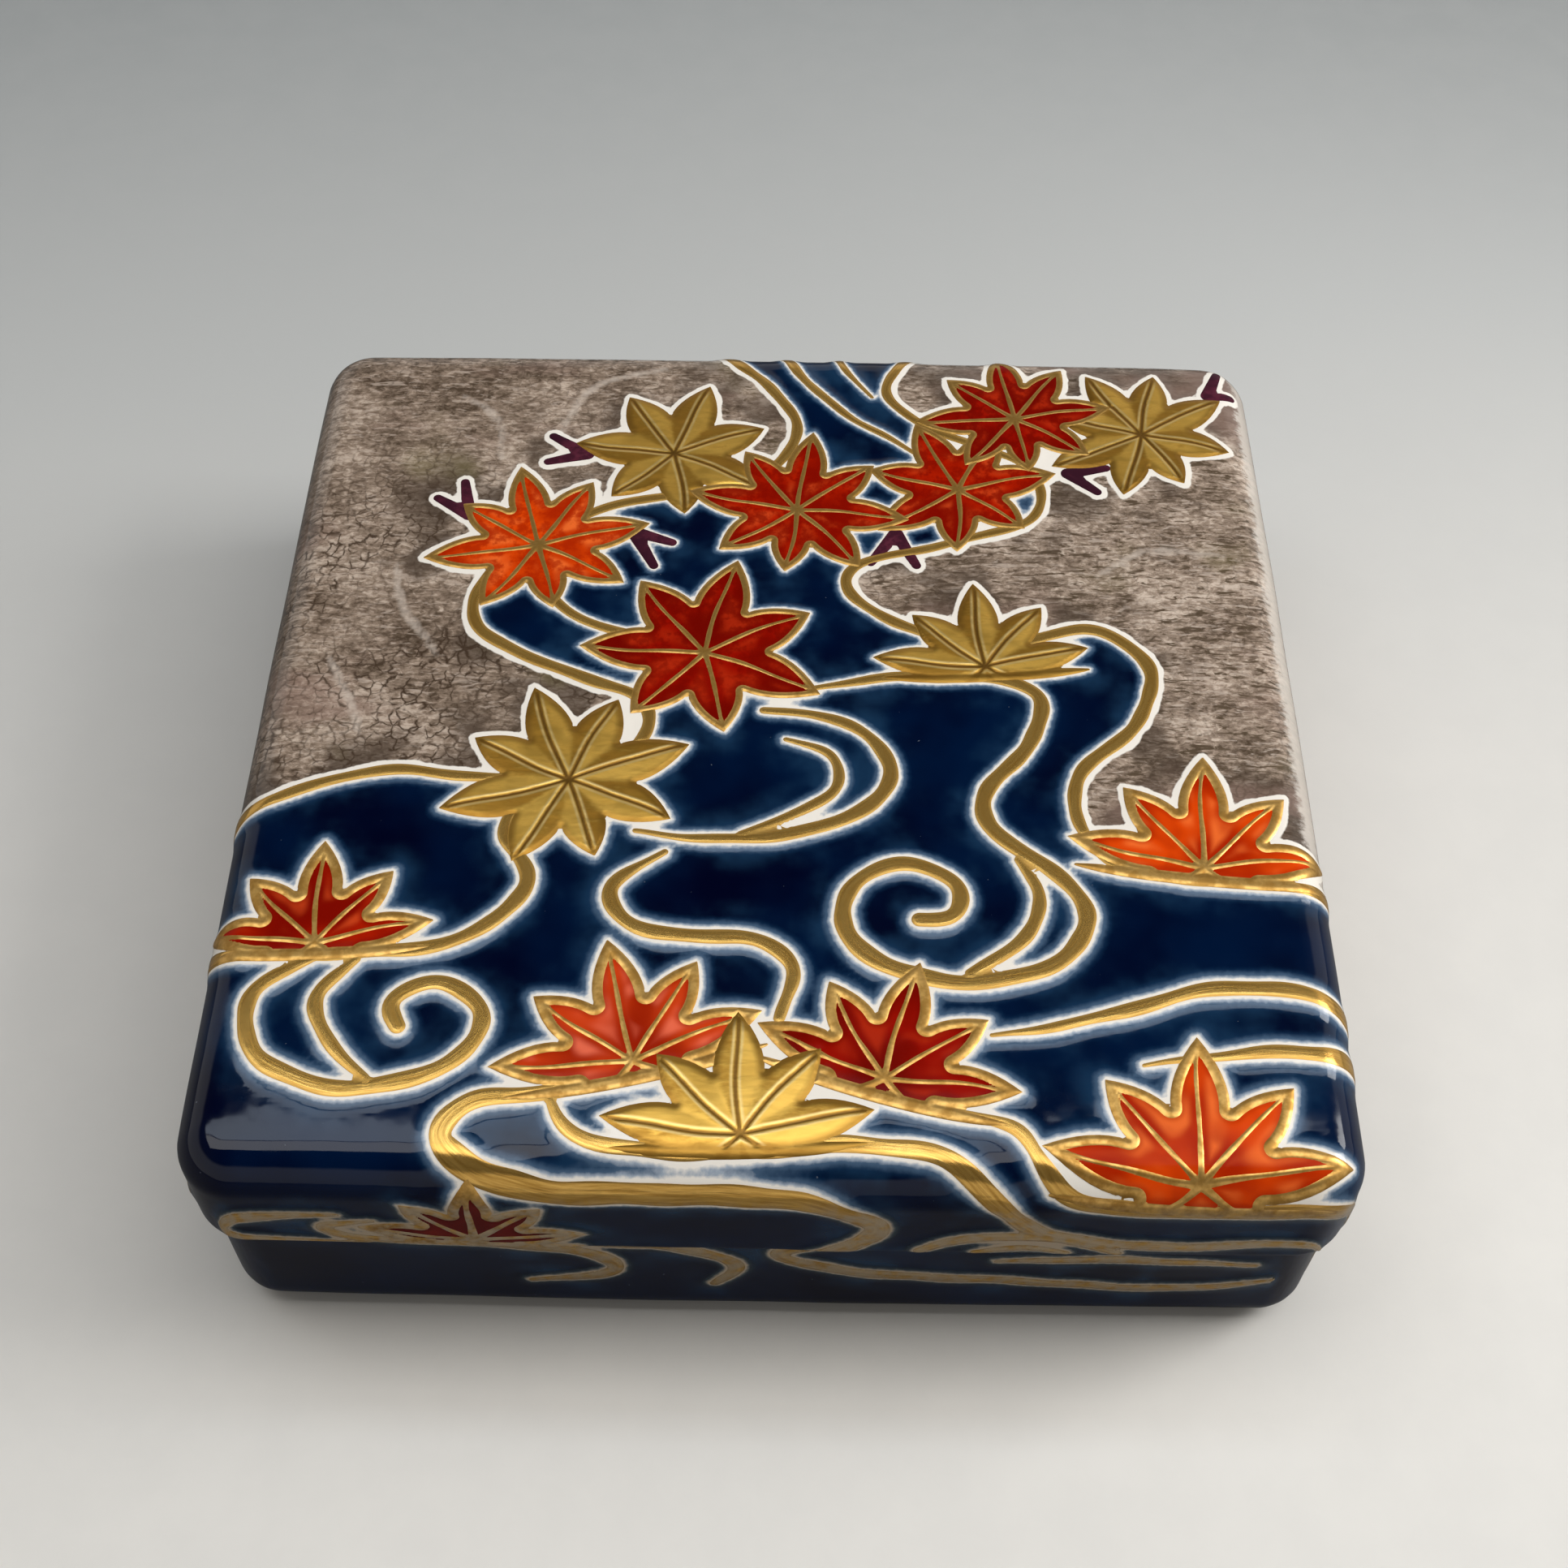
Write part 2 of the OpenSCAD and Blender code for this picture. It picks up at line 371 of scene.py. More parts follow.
# Leaves from the lowest to the uppermost: place, radius, turn in degrees, lobes, colour, and how far
# below its heart the water cuts it, as a share of its radius, or None
LEAVES = [
    ((12.6, 20.0), 7.2, 24, SEVEN_LOBES, "red", None),
    ((-8.0, 23.2), 7.4, -18, SEVEN_LOBES, "gold", None),
    ((26.2, 25.8), 7.3, 30, EIGHT_LOBES, "gold", None),
    ((17.0, 27.4), 7.3, 8, EIGHT_LOBES, "crimson", None),
    ((-17.2, 14.0), 7.9, 14, EIGHT_LOBES, "orange", None),
    ((1.0, 17.8), 7.9, -8, EIGHT_LOBES, "red", None),
    ((-13.6, -6.6), 8.2, 20, EIGHT_LOBES, "gold", None),
    ((-5.2, 4.4), 8.5, -14, SEVEN_LOBES, "crimson", None),
    ((13.8, 3.4), 7.6, 4, FLOAT_LOBES, "gold", 0.10),
    ((27.0, -12.6), 8.8, -5, FLOAT_LOBES, "orange", 0.11),
    ((-28.2, -19.2), 7.6, 3, FLOAT_LOBES, "red", 0.11),
    ((-8.2, -27.0), 8.6, 14, FLOAT_LOBES, "coral", 0.14),
    ((6.6, -28.0), 8.4, -16, FLOAT_LOBES, "crimson", 0.14),
    ((-1.8, -31.8), 8.3, 2, FLOAT_LOBES, "gold", 0.11),
    ((24.8, -34.2), 9.4, -3, FLOAT_LOBES, "orange", 0.18),
    ((-17.6, -41.3), 7.0, -2, FLOAT_LOBES, "wine", 0.10),
    ((-16, 41.4), 6.0, 182, FLOAT_LOBES, "gold", 0.11),
]

# Forked twigs: where the fork meets a leaf, and the two tips
TWIGS = [
    ((-14.4, 23.0), (-17.0, 24.8), (-17.2, 22.2)),
    ((8.0, 15.6), (6.2, 12.8), (9.4, 12.6)),
    ((20.6, 21.8), (22.6, 20.0), (23.4, 22.4)),
    ((31.6, 30.2), (33.4, 30.2), (32.6, 32.8)),
    ((-10.6, 15.4), (-7.8, 14.4), (-9.0, 12.2)),
    ((-22.4, 16.8), (-24.8, 18.4), (-23.0, 20.0)),
]

# Widths of strokes, and the shape of a leaf's veins and of the water against it
TWIG_W = 1.05
TWIG_TIP_W = 0.651
OUTLINE_W = 0.68
FALLEN_OUTLINE_W = 0.50
SHORTEST_RIB = 0.42
WATER_CURL = 0.45
WATER_SPAN = 0.92
WATER_LINE_W = 0.9
VEIN_W = (0.56, 0.34)
VEIN_BEND = 2.5
VEIN_REACH = 2.5
LEAF_SPAN = 1.06
LOBE_ROOF = 0.06
GROOVE = 0.06
GROOVE_W = 0.14


def bulged(a, b, share, n=8):
    """Points from a towards b, swelling to the right of the way by a share of its length"""
    d = b - a
    c = a + share * d + 2 * BULGE * np.array([d[1], -d[0]])
    t = np.linspace(0, 1, n, endpoint=False)[:, None]
    return (1 - t) ** 2 * a + 2 * t * (1 - t) * c + t ** 2 * b


class Leaf:
    """One maple leaf on the plan: a star of pointed lobes, cut by the water where it floats"""

    def __init__(self, at, radius, turn, lobes, kind, cut):
        self.at, self.radius, self.turn = np.array(at), radius, turn
        self.lobes, self.kind, self.cut = lobes, kind, cut
        self.outline = FALLEN_OUTLINE_W if cut is None else OUTLINE_W
        self.low, self.high = self.at - radius * LEAF_SPAN, self.at + radius * LEAF_SPAN

    def polar(self, angle, share):
        """The point at an angle from the middle lobe and a share of the radius"""
        a = math.radians(self.turn + 90 + angle)
        return self.at + self.radius * share * np.array([math.cos(a), math.sin(a)])

    def star(self, grid):
        """Signed distance to the edge of the whole star of lobes, negative inside"""
        lobes = self.lobes + [(360, self.lobes[0][1])]
        outline = []
        for (a, s), (b, t) in zip(lobes, lobes[1:]):
            dip = self.polar((a + b) / 2, NOTCH * (s + t) / 2)
            outline += [bulged(self.polar(a, s), dip, 0.6), bulged(dip, self.polar(b, t), 0.4)]
        outline = np.vstack(outline)
        path = np.column_stack([outline, np.zeros(len(outline))])
        edge = Strokes(grid, [np.vstack([path, path[:1]])]).gap
        return np.where(grid.inside(outline), -edge, edge)

    def gap(self, grid):
        """Signed distance to the leaf's edge, where the water cuts it too"""
        star = self.star(grid)
        if self.cut is None:
            return star
        a = math.radians(self.turn)
        x, y = grid.X - self.at[0], grid.Y - self.at[1]
        across, above = x * math.cos(a) + y * math.sin(a), y * math.cos(a) - x * math.sin(a)
        return np.maximum(star, self.water_line(across) - above)

    def water_line(self, across):
        """Height of the water against the leaf, above its heart"""
        return self.radius * self.cut * (WATER_CURL * (across / self.radius) ** 2 - 1)

    def rest(self, grid):
        """Distance to the stroke of water that the leaf floats on"""
        if self.cut is None:
            return np.full(grid.X.shape, FAR)
        u = np.linspace(-WATER_SPAN, WATER_SPAN, 40)
        across, above = u * self.radius, self.water_line(u * self.radius)
        a = math.radians(self.turn)
        x = self.at[0] + across * math.cos(a) - above * math.sin(a)
        y = self.at[1] + across * math.sin(a) + above * math.cos(a)
        width = WATER_LINE_W * (1 - 0.8 * np.abs(u / WATER_SPAN) ** 4)
        return Strokes(grid, [np.column_stack([x, y, width])]).gap

    def cover(self, grid):
        """Distance to all that the leaf hides: itself and its stroke of water"""
        return np.minimum(self.gap(grid), self.rest(grid))

    def facets(self, grid):
        """1 in the half of each lobe to the left of its vein, -1 in the other, and 0 between lobes"""
        turn = np.degrees(np.arctan2(grid.Y - self.at[1], grid.X - self.at[0])) - 90 - self.turn
        angles = [angle for angle, _ in self.lobes] + [360]
        return np.sin(2 * math.pi * np.interp(turn % 360, angles, range(len(angles))))

    def veins(self, grid):
        """Strokes from the leaf's heart towards each tip"""
        paths = []
        for angle, share in self.lobes:
            if share >= SHORTEST_RIB:
                middle = self.polar(angle + VEIN_BEND, share * 0.5)
                tip = self.polar(angle, share * 0.95)
                rows = [(*self.at, VEIN_W[0]), (*middle, sum(VEIN_W) / 2), (*tip, VEIN_W[1])]
                paths.append(curve(rows))
        return Strokes(grid, paths, VEIN_REACH + 0.1)


# Meshes

def add_object(name, data):
    """An object in the scene"""
    obj = bpy.data.objects.new(name, data)
    bpy.context.scene.collection.objects.link(obj)
    return obj


def make_object(name, verts, faces, body, attributes, crease=None, normals=None):
    """A mesh object from millimetres that rides on a body, with named point attributes"""
    mesh = bpy.data.meshes.new(name)
    mesh.from_pydata((np.asarray(verts) * MM).tolist(), [], faces)
    for key, values in attributes.items():
        layer = mesh.attributes.new(key, "FLOAT", "POINT")
        layer.data.foreach_set("value", np.asarray(values, np.float32))
    mesh.validate()
    mesh.shade_smooth()
    if crease:
        mesh.set_sharp_from_angle(angle=crease)
    if normals is not None:
        set_normals(mesh, normals)
    obj = add_object(name, mesh)
    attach(obj, body)
    return obj


def set_normals(mesh, normals):
    """Sets a relief's normals, apart from the flat faces that join its upper and lower halves"""
    corners = np.empty(len(mesh.loops), int)
    mesh.loops.foreach_get("vertex_index", corners)
    upper = corners.reshape(-1, 4) < len(normals) // 2
    skirt = upper.any(axis=1) & ~upper.all(axis=1)
    mesh.polygons.foreach_set("use_smooth", ~skirt)
    mesh.normals_split_custom_set(np.where(np.repeat(skirt, 4)[:, None], 0, normals[corners]))


def cell_corners(a):
    """The values at the four corners of each cell of a grid"""
    return np.stack([a[:-1, :-1], a[:-1, 1:], a[1:, 1:], a[1:, :-1]], -1)


def seam_fade(run):
    """0 at the seam, rising to 1 a short way to either side"""
    return np.clip(np.abs(run - SEAM_RUN) / 0.5, 0, 1)


def rounding(depth, width):
    """Height share of a pillow with a rounded edge, at a depth inside its outline"""
    return 1 - (1 - np.clip(depth / width, -0.6, 1)) ** 2


def facing(x, y, h, slope_x, slope_y, part):
    """Outward normals of a relief at plan points, from its heights and their slopes"""
    nudge = 0.02
    here = wrap(x, y, h, part)
    ahead = wrap(x + nudge, y, h + nudge * slope_x, part) - here
    aside = wrap(x, y + nudge, h + nudge * slope_y, part) - here
    normal = np.cross(ahead, aside)
    return normal / np.maximum(np.linalg.norm(normal, axis=1, keepdims=True), 1e-12)


def relief(name, part, grid, gap, height, attributes):
    """A closed solid over the plan where gap is negative, as high as height, wrapped round a part"""
    middle = run_of(grid.X[:-1, :-1] + grid.step / 2, grid.Y[:-1, :-1] + grid.step / 2)
    mine = middle < SEAM_RUN if part == "lid" else (middle > SEAM_RUN) & (middle < END_RUN)
    keep = (cell_corners(gap).min(axis=-1) < 0) & mine
    if keep.sum() < FEWEST_CELLS:
        return None
    index = np.arange(gap.size).reshape(gap.shape)
    used, quads = np.unique(cell_corners(index)[keep], return_inverse=True)
    quads = quads.reshape(-1, 4)

    def pick(field):
        return field.ravel()[used]

    slope_y, slope_x = np.gradient(gap, grid.step)
    steep = np.maximum(slope_x ** 2 + slope_y ** 2, 0.3)
    back = np.clip(gap, 0, 1.5 * grid.step) / steep
    x0, y0 = pick(grid.X), pick(grid.Y)
    on_seam = np.abs(run_of(x0, y0) - SEAM_RUN) < 0.01
    x = np.where(on_seam & (np.abs(x0) > ANCHOR), x0, pick(grid.X - back * slope_x))
    y = np.where(on_seam & (np.abs(y0) > ANCHOR), y0, pick(grid.Y - back * slope_y))
    fade = 0.3 + 0.7 * seam_fade(run_of(x, y))
    h = pick(np.where(gap < 0, height, SLIP_RISE + HEM)) * fade
    upper = wrap(x, y, h, part)
    slope_y, slope_x = (pick(g) * fade for g in np.gradient(height, grid.step))
    tilted = facing(x, y, h, slope_x, slope_y, part)
    lower = wrap(x, y, np.full(len(used), -ROOT), part)
    edges = np.stack([quads, np.roll(quads, -1, axis=1)], -1).reshape(-1, 2)
    key = np.sort(edges, axis=1)
    code = key[:, 0].astype(np.int64) * len(used) + key[:, 1]
    _, first, count = np.unique(code, return_index=True, return_counts=True)
    rim = edges[first[count == 1]]
    n = len(used)
    skirt = np.column_stack([rim[:, 1], rim[:, 0], rim[:, 0] + n, rim[:, 1] + n])
    faces = quads.tolist() + (quads[:, ::-1] + n).tolist() + skirt.tolist()
    values = {key: np.tile(pick(field), 2) for key, field in attributes.items()}
    normals = np.vstack([tilted, -tilted])
    return make_object(name, np.vstack([upper, lower]), faces, part, values, normals=normals)


def both_parts(name, grid, gap, height, attributes, material):
    """Relief on the lid and, where it runs over the seam, on the base too"""
    for part in ("lid", "base"):
        obj = relief(f"{name}_{part}", part, grid, gap, height, attributes)
        if obj:
            obj.data.materials.append(material)


# Rings of points round the box: CELLS steps on each side, of which CORNER_CELLS turn the corners
CELLS = 216
CORNER_CELLS = 16
RIM_STEP = 0.09
CREASE = math.radians(40)
# The shells' materials, in order
GLAZED, BARE, IVORY = range(3)


def ring_columns():
    """Anchors and outward normals of the columns round the box, from the front left corner on"""
    turn = np.linspace(0, math.pi / 4, CORNER_CELLS // 2 + 1)
    along = np.linspace(-ANCHOR, ANCHOR, CELLS - CORNER_CELLS + 1)
    t = np.concatenate([np.full(len(turn) - 1, -ANCHOR), along, np.full(len(turn) - 2, ANCHOR)])
    a = np.concatenate([turn[:-1] - math.pi / 4, 0 * along, turn[1:-1]])
    front = np.column_stack([t, np.full(len(t), -ANCHOR)])
    out = np.column_stack([np.sin(a), -np.cos(a)])
    quarters = [np.array([(c, s), (-s, c)]) for c, s in ((1, 0), (0, 1), (-1, 0), (0, -1))]
    return np.vstack([front @ q for q in quarters]), np.vstack([out @ q for q in quarters])


ANCHORS, NORMALS = ring_columns()
COLUMNS = len(ANCHORS)
COLUMN = np.arange(COLUMNS)
NEXT = np.roll(COLUMN, -1)


def plan_ring(run):
    """Plan points of the ring at a run past the flat top"""
    return ANCHORS + NORMALS * (FLAT_R + run)


def level_ring(anchor, radius, z):
    """A level ring: how far out its corners turn, their radius, and its height"""
    return np.column_stack([ANCHORS * anchor / ANCHOR + NORMALS * radius, np.full(COLUMNS, z)])


def rounded(anchor, radius, z, fillet, start, end, steps):
    """Rings along a fillet, from the level ring at its centre, its radius and two angles"""
    angles = np.radians(np.linspace(start, end, steps + 1)[1:])
    return [level_ring(anchor, radius + fillet * math.cos(a), z + fillet * math.sin(a)) for a in angles]


def strips(first, rows):
    """Quads between rows of ring points that start at index first"""
    row = np.column_stack([COLUMN, COLUMN + COLUMNS, NEXT + COLUMNS, NEXT]) + first
    return np.vstack([row + k * COLUMNS for k in range(rows - 1)])


def top_grid():
    """Plan points of the lid's flat top, fitted to its rounded outline, and the border's order"""
    ring = np.vstack([plan_ring(0), plan_ring(0)[:1]])
    front, right, back, left = (ring[k * CELLS:(k + 1) * CELLS + 1] for k in range(4))
    back, left = back[::-1], left[::-1]
    u = np.linspace(0, 1, CELLS + 1)[None, :, None]
    v = np.linspace(0, 1, CELLS + 1)[:, None, None]
    flat = (1 - v) * front[None] + v * back[None] + (1 - u) * left[:, None] + u * right[:, None]
    flat -= (1 - v) * ((1 - u) * front[0] + u * front[-1]) + v * ((1 - u) * back[0] + u * back[-1])
    index = np.arange((CELLS + 1) ** 2).reshape(CELLS + 1, CELLS + 1)
    border = np.concatenate([index[0, :-1], index[:-1, -1], index[-1, :0:-1], index[:0:-1, 0]])
    return flat.reshape(-1, 2), border, cell_corners(index).reshape(-1, 4)


def spaced(start, end, step=0.3):
    """Evenly spaced values after start, up to and with end"""
    return np.linspace(start, end, max(1, round(abs(end - start) / step)) + 1)[1:]


def slip_height(gap):
    """How far the glaze swells over the slip beside gold and enamel"""
    t = np.clip(1 - gap / SLIP_REACH, 0, 1)
    return SLIP_RISE * t * t * (3 - 2 * t)


def glaze_points(xy, part, plan):
    """Wrapped points of the outer glaze, and the attributes that its colours read"""
    x, y = xy[:, 0], xy[:, 1]
    gap = plan["grid"].sample(plan["gap"], x, y)
    run = run_of(x, y)
    points = wrap(x, y, slip_height(gap) * seam_fade(run), part)
    values = {
        "gold_gap": gap,
        "water": plan["grid"].sample(plan["water"], x, y),
        "scuff": plan["grid"].sample(plan["scuffs"], x, y),
        "rim_gap": np.abs(run - SEAM_RUN),
        "edge_run": run,
        "plan_x": x,
        "plan_y": y,
    }
    return points, values


def shell(name, body, outer, plan, rings, blocks, materials):
    """Joins the outer glaze and the inner rings into one closed piece with its materials"""
    points, values = glaze_points(outer, body, plan)
    inner = np.vstack(rings)
    for key, field in values.items():
        blank = 0 if key in ("edge_run", "plan_x", "plan_y") else FAR
        values[key] = np.concatenate([field, np.full(len(inner), blank)])
    faces, slots = [], []
    for block, slot in blocks:
        faces += block.tolist()
        slots += [slot] * len(block)
    obj = make_object(name, np.vstack([points, inner]), faces, body, values, CREASE)
    for m in materials:
        obj.data.materials.append(m)
    obj.data.polygons.foreach_set("material_index", slots)
    return obj


def build_lid(plan, materials):
    """The lid: glazed outside, a bare rim, and a plain glaze in the hollow"""
    flat, border, top = top_grid()
    runs = [*spaced(0, EDGE_RUN), *spaced(EDGE_RUN, SEAM_RUN - RIM_R),
            *spaced(SEAM_RUN - RIM_R, SEAM_RUN, RIM_STEP)]
    outer = np.vstack([flat] + [plan_ring(r) for r in runs])
    mouth, wall_top = SEAM + MOUTH_BEVEL, CEILING - CEILING_FILLET
    rings = [
        level_ring(TRAY_ANCHOR, HOLLOW_CORNER_R + MOUTH_BEVEL, SEAM),
        level_ring(TRAY_ANCHOR, HOLLOW_CORNER_R, mouth),
        *[level_ring(TRAY_ANCHOR, HOLLOW_CORNER_R, z) for z in spaced(mouth, wall_top, 1)],
        *rounded(TRAY_ANCHOR, HOLLOW_CORNER_R - CEILING_FILLET, wall_top, CEILING_FILLET, 0, 90, 5),
    ]
    first = len(flat)
    join = np.column_stack([border, first + COLUMN, first + NEXT, np.roll(border, -1)])
    inside = strips(len(outer) - COLUMNS, len(rings) + 1)
    ceiling = len(outer) + (len(rings) - 1) * COLUMNS + COLUMN[::-1]
    rim = 2 * COLUMNS
    blocks = [(top, GLAZED), (join, GLAZED), (strips(first, len(runs)), GLAZED), (inside[:rim], BARE),
              (inside[rim:], IVORY), (ceiling[None], IVORY)]
    return shell("lid_glazed", "lid", outer, plan, rings, blocks, materials)


def build_base(plan, materials):
    """The base: glazed wall, bare foot and seat, and a plain glaze in the tray"""
    runs = [SEAM_RUN, *spaced(SEAM_RUN, SEAM_RUN + RIM_R, RIM_STEP),
            *spaced(SEAM_RUN + RIM_R, FOOT_RUN), *spaced(FOOT_RUN, END_RUN)]
    outer = np.vstack([plan_ring(r) for r in runs])
    foot_edge = BASE_HALF - FOOT_R - RECESS_CORNER_R
    recess, recess_z = foot_edge - FOOT_RING_W, FOOT_RECESS - RECESS_FILLET
    foot = [
        level_ring(foot_edge - FOOT_MIDDLE, RECESS_CORNER_R, 0),
        level_ring(recess, RECESS_CORNER_R + FOOT_BEVEL, 0),
        level_ring(recess, RECESS_CORNER_R, FOOT_BEVEL),
        *rounded(recess, RECESS_CORNER_R - RECESS_FILLET, recess_z, RECESS_FILLET, 0, 90, 3),
    ]
    lip_z, tray_z = FLANGE_TOP - LIP_R, TRAY_FLOOR + TRAY_FILLET
    seat = [
        *[level_ring(TRAY_ANCHOR, SEAT_CORNER_R, z) for z in (SEAM, *spaced(SEAM, lip_z, 1))],
        *rounded(TRAY_ANCHOR, SEAT_CORNER_R - LIP_R, lip_z, LIP_R, 0, 90, 5),
        level_ring(TRAY_ANCHOR, TRAY_CORNER_R + LIP_R, FLANGE_TOP),
        *rounded(TRAY_ANCHOR, TRAY_CORNER_R + LIP_R, lip_z, LIP_R, 90, 180, 5),
    ]
    tray = [
        *[level_ring(TRAY_ANCHOR, TRAY_CORNER_R, z) for z in spaced(lip_z, tray_z, 1.2)],
        *rounded(TRAY_ANCHOR, TRAY_CORNER_R - TRAY_FILLET, tray_z, TRAY_FILLET, 0, -90, 6),
    ]
    wall_end, foot_end = len(outer) - COLUMNS, len(outer) + len(foot) * COLUMNS
    join = np.column_stack([NEXT, foot_end + NEXT, foot_end + COLUMN, COLUMN])
    above = strips(foot_end, len(seat) + len(tray))[:, ::-1]
    bare = (len(seat) - 1) * COLUMNS
    under = foot_end - COLUMNS + COLUMN[::-1]
    floor = foot_end + (len(seat) + len(tray) - 1) * COLUMNS + COLUMN
    blocks = [(strips(0, len(runs)), GLAZED), (strips(wall_end, len(foot) + 1), BARE), (join, BARE),
              (above[:bare], BARE), (above[bare:], IVORY), (under[None], BARE), (floor[None], IVORY)]
    return shell("base_glazed", "base", outer, plan, foot + seat + tray, blocks, materials)


# Materials

class Nodes:
    """Short ways to add nodes to a tree"""

    def __init__(self, tree):
        self.tree = tree

    def feed(self, socket, value):
        """Sets a socket, or links it to another node's output"""
        if isinstance(value, bpy.types.NodeSocket):
            self.tree.links.new(value, socket)
        elif isinstance(value, tuple) and len(value) == 3 and socket.type == "RGBA":
            socket.default_value = (*value, 1)
        else:
            socket.default_value = value

    def node(self, kind, inputs, output=0, **settings):
        """Adds a node and gives one of its outputs"""
        n = self.tree.nodes.new("ShaderNode" + kind)
        for key, value in settings.items():
            setattr(n, key, value)
        for key, value in inputs.items():
            self.feed(n.inputs[key], value)
        return n.outputs[output]

    def attribute(self, name):
        return self.node("Attribute", {}, "Fac", attribute_name=name)

    def math(self, operation, a, b):
        return self.node("Math", {0: a, 1: b}, operation=operation)

    def times(self, a, b):
        return self.math("MULTIPLY", a, b)

    def plus(self, a, b):
        return self.math("ADD", a, b)

    def swing(self, value, width):
        """A noise's swing about zero"""
        return self.times(self.math("SUBTRACT", value, 0.5), width)

    def step(self, value, low, high, start=0.0, end=1.0):
        """A smooth step of a value from start to end, between low and high"""
        inputs = {"Value": value, "From Min": low, "From Max": high, "To Min": start, "To Max": end}
        return self.node("MapRange", inputs, interpolation_type="SMOOTHSTEP")

    def mix(self, share, a, b, blend="MIX"):
        return self.node("Mix", {0: share, 6: a, 7: b}, 2, data_type="RGBA", blend_type=blend)

    def layers(self, colour, *rows):
        """A colour with others laid over it, from rows of share and colour"""
        for share, tint in rows:
            colour = self.mix(share, colour, tint)
        return colour

    def noise(self, vector, scale, detail=2.0, rough=0.5, warp=0.0):
        inputs = {"Vector": vector, "Scale": scale, "Detail": detail}
        inputs.update({"Roughness": rough, "Distortion": warp})
        return self.node("TexNoise", inputs, "Fac")

    def stretch(self, vector, scale, shift=(0.0, 0.0, 0.0)):
        return self.node("Mapping", {"Vector": vector, "Scale": scale, "Location": shift})

    def cracks(self, vector, scale, width):
        """1 on the thin lines between the cells of a crackle"""
        inputs = {"Vector": vector, "Scale": scale, "Randomness": 1.0}
        gap = self.node("TexVoronoi", inputs, "Distance", feature="DISTANCE_TO_EDGE")
        return self.step(gap, 0.0, width, 1.0, 0.0)

    def ramp(self, value, stops):
        """A colour for a value, from rows of place and colour"""
        n = self.tree.nodes.new("ShaderNodeValToRGB")
        self.feed(n.inputs[0], value)
        for k, (place, colour) in enumerate(stops):
            e = n.color_ramp.elements[k] if k < 2 else n.color_ramp.elements.new(place)
            e.position, e.color = place, (*colour, 1)
        return n.outputs[0]

    def bump(self, height, strength, distance):
        inputs = {"Height": height, "Strength": strength, "Distance": distance}
        return self.node("Bump", inputs, "Normal")


class Shader(Nodes):
    """One material's nodes, around its Principled BSDF"""

    def __init__(self, name):
        self.material = bpy.data.materials.new(name)
        self.material.use_nodes = True
        super().__init__(self.material.node_tree)
        self.bsdf = self.tree.nodes["Principled BSDF"]

    def plan(self):
        """The place on the plan, at a height that lies between the noise's lattice planes"""
        x, y = self.attribute("plan_x"), self.attribute("plan_y")
        return self.node("CombineXYZ", {"X": x, "Y": y, "Z": 0.37})

    def place(self):
        """The place in the piece, in millimetres"""
        return self.stretch(self.node("TexCoord", {}, "Object"), (1 / MM, 1 / MM, 1 / MM))

    def finish(self, **inputs):
        """Feeds the BSDF and gives the material"""
        for key, value in inputs.items():
            self.feed(self.bsdf.inputs[key.replace("_", " ").title().replace("Ior", "IOR")], value)
        return self.material


# Colours, and ramps as rows of place and colour
CREAM = (0.84, 0.78, 0.69)
TAUPE = [
    (0.39, (0.080, 0.054, 0.035)), (0.46, (0.190, 0.136, 0.098)), (0.53, (0.302, 0.223, 0.164)),
    (0.61, (0.53, 0.42, 0.33)),
]
# Painted light: how much lighter the taupe is made towards the right
TAUPE_PAINTED_LIGHT_RIGHT = (1.13, 1.15, 1.17)
DARK_STREAK = (0.085, 0.058, 0.036)
PALE_STREAK = (0.50, 0.40, 0.32)
SMUDGE = (0.070, 0.048, 0.034)
PINK = (0.300, 0.195, 0.155)
OLIVE = (0.170, 0.138, 0.060)
CRACK = (0.055, 0.034, 0.021)
SCUFF = (0.58, 0.49, 0.41)
# Painted shade in brown on the left edge; pale slip with a painted highlight on the other edges
SHADED_EDGE_BROWN = (0.105, 0.078, 0.057)
BARE_SLIP_AND_HIGHLIGHT = (0.64, 0.58, 0.51)
WORN_RIM = (0.50, 0.46, 0.42)
NAVY_DEEP = (0.0002, 0.0010, 0.011)
NAVY_MID = (0.0002, 0.0066, 0.030)
NAVY_SPECK = (0.25, 0.28, 0.33)
NAVY_HAZE = (0.010, 0.038, 0.085)
BLOOM = [
    (0.12, CREAM), (0.23, (0.34, 0.39, 0.45)), (0.37, (0.060, 0.105, 0.17)),
    (0.70, (0.007, 0.028, 0.070)),
]
BLOOM_DULL = (0.34, 0.27, 0.19)
IVORY_DARK, IVORY_PALE = (0.66, 0.60, 0.50), (0.78, 0.73, 0.64)
IVORY_CRACK = (0.36, 0.28, 0.20)
CLAY = [(0.3, (0.30, 0.23, 0.165)), (0.52, (0.46, 0.37, 0.275)), (0.7, (0.58, 0.49, 0.39))]
GRIT = (0.12, 0.08, 0.055)
GOLD, GOLD_DARK = (0.84, 0.50, 0.125), (0.52, 0.275, 0.050)
GOLD_PATCH, GOLD_EDGE = (0.62, 0.36, 0.08), (0.46, 0.26, 0.06)
GOLD_SLIP = (0.66, 0.56, 0.42)
OCHRE, OCHRE_DARK = (0.72, 0.42, 0.115), (0.40, 0.205, 0.038)
OCHRE_BACK = (0.34, 0.185, 0.036)
# The solid leaves' gold, mixed by brush marks and by painted light and shade on the lobes' halves
LEAF_GOLD, LEAF_GOLD_DARK = (0.92, 0.54, 0.097), (0.42, 0.205, 0.022)
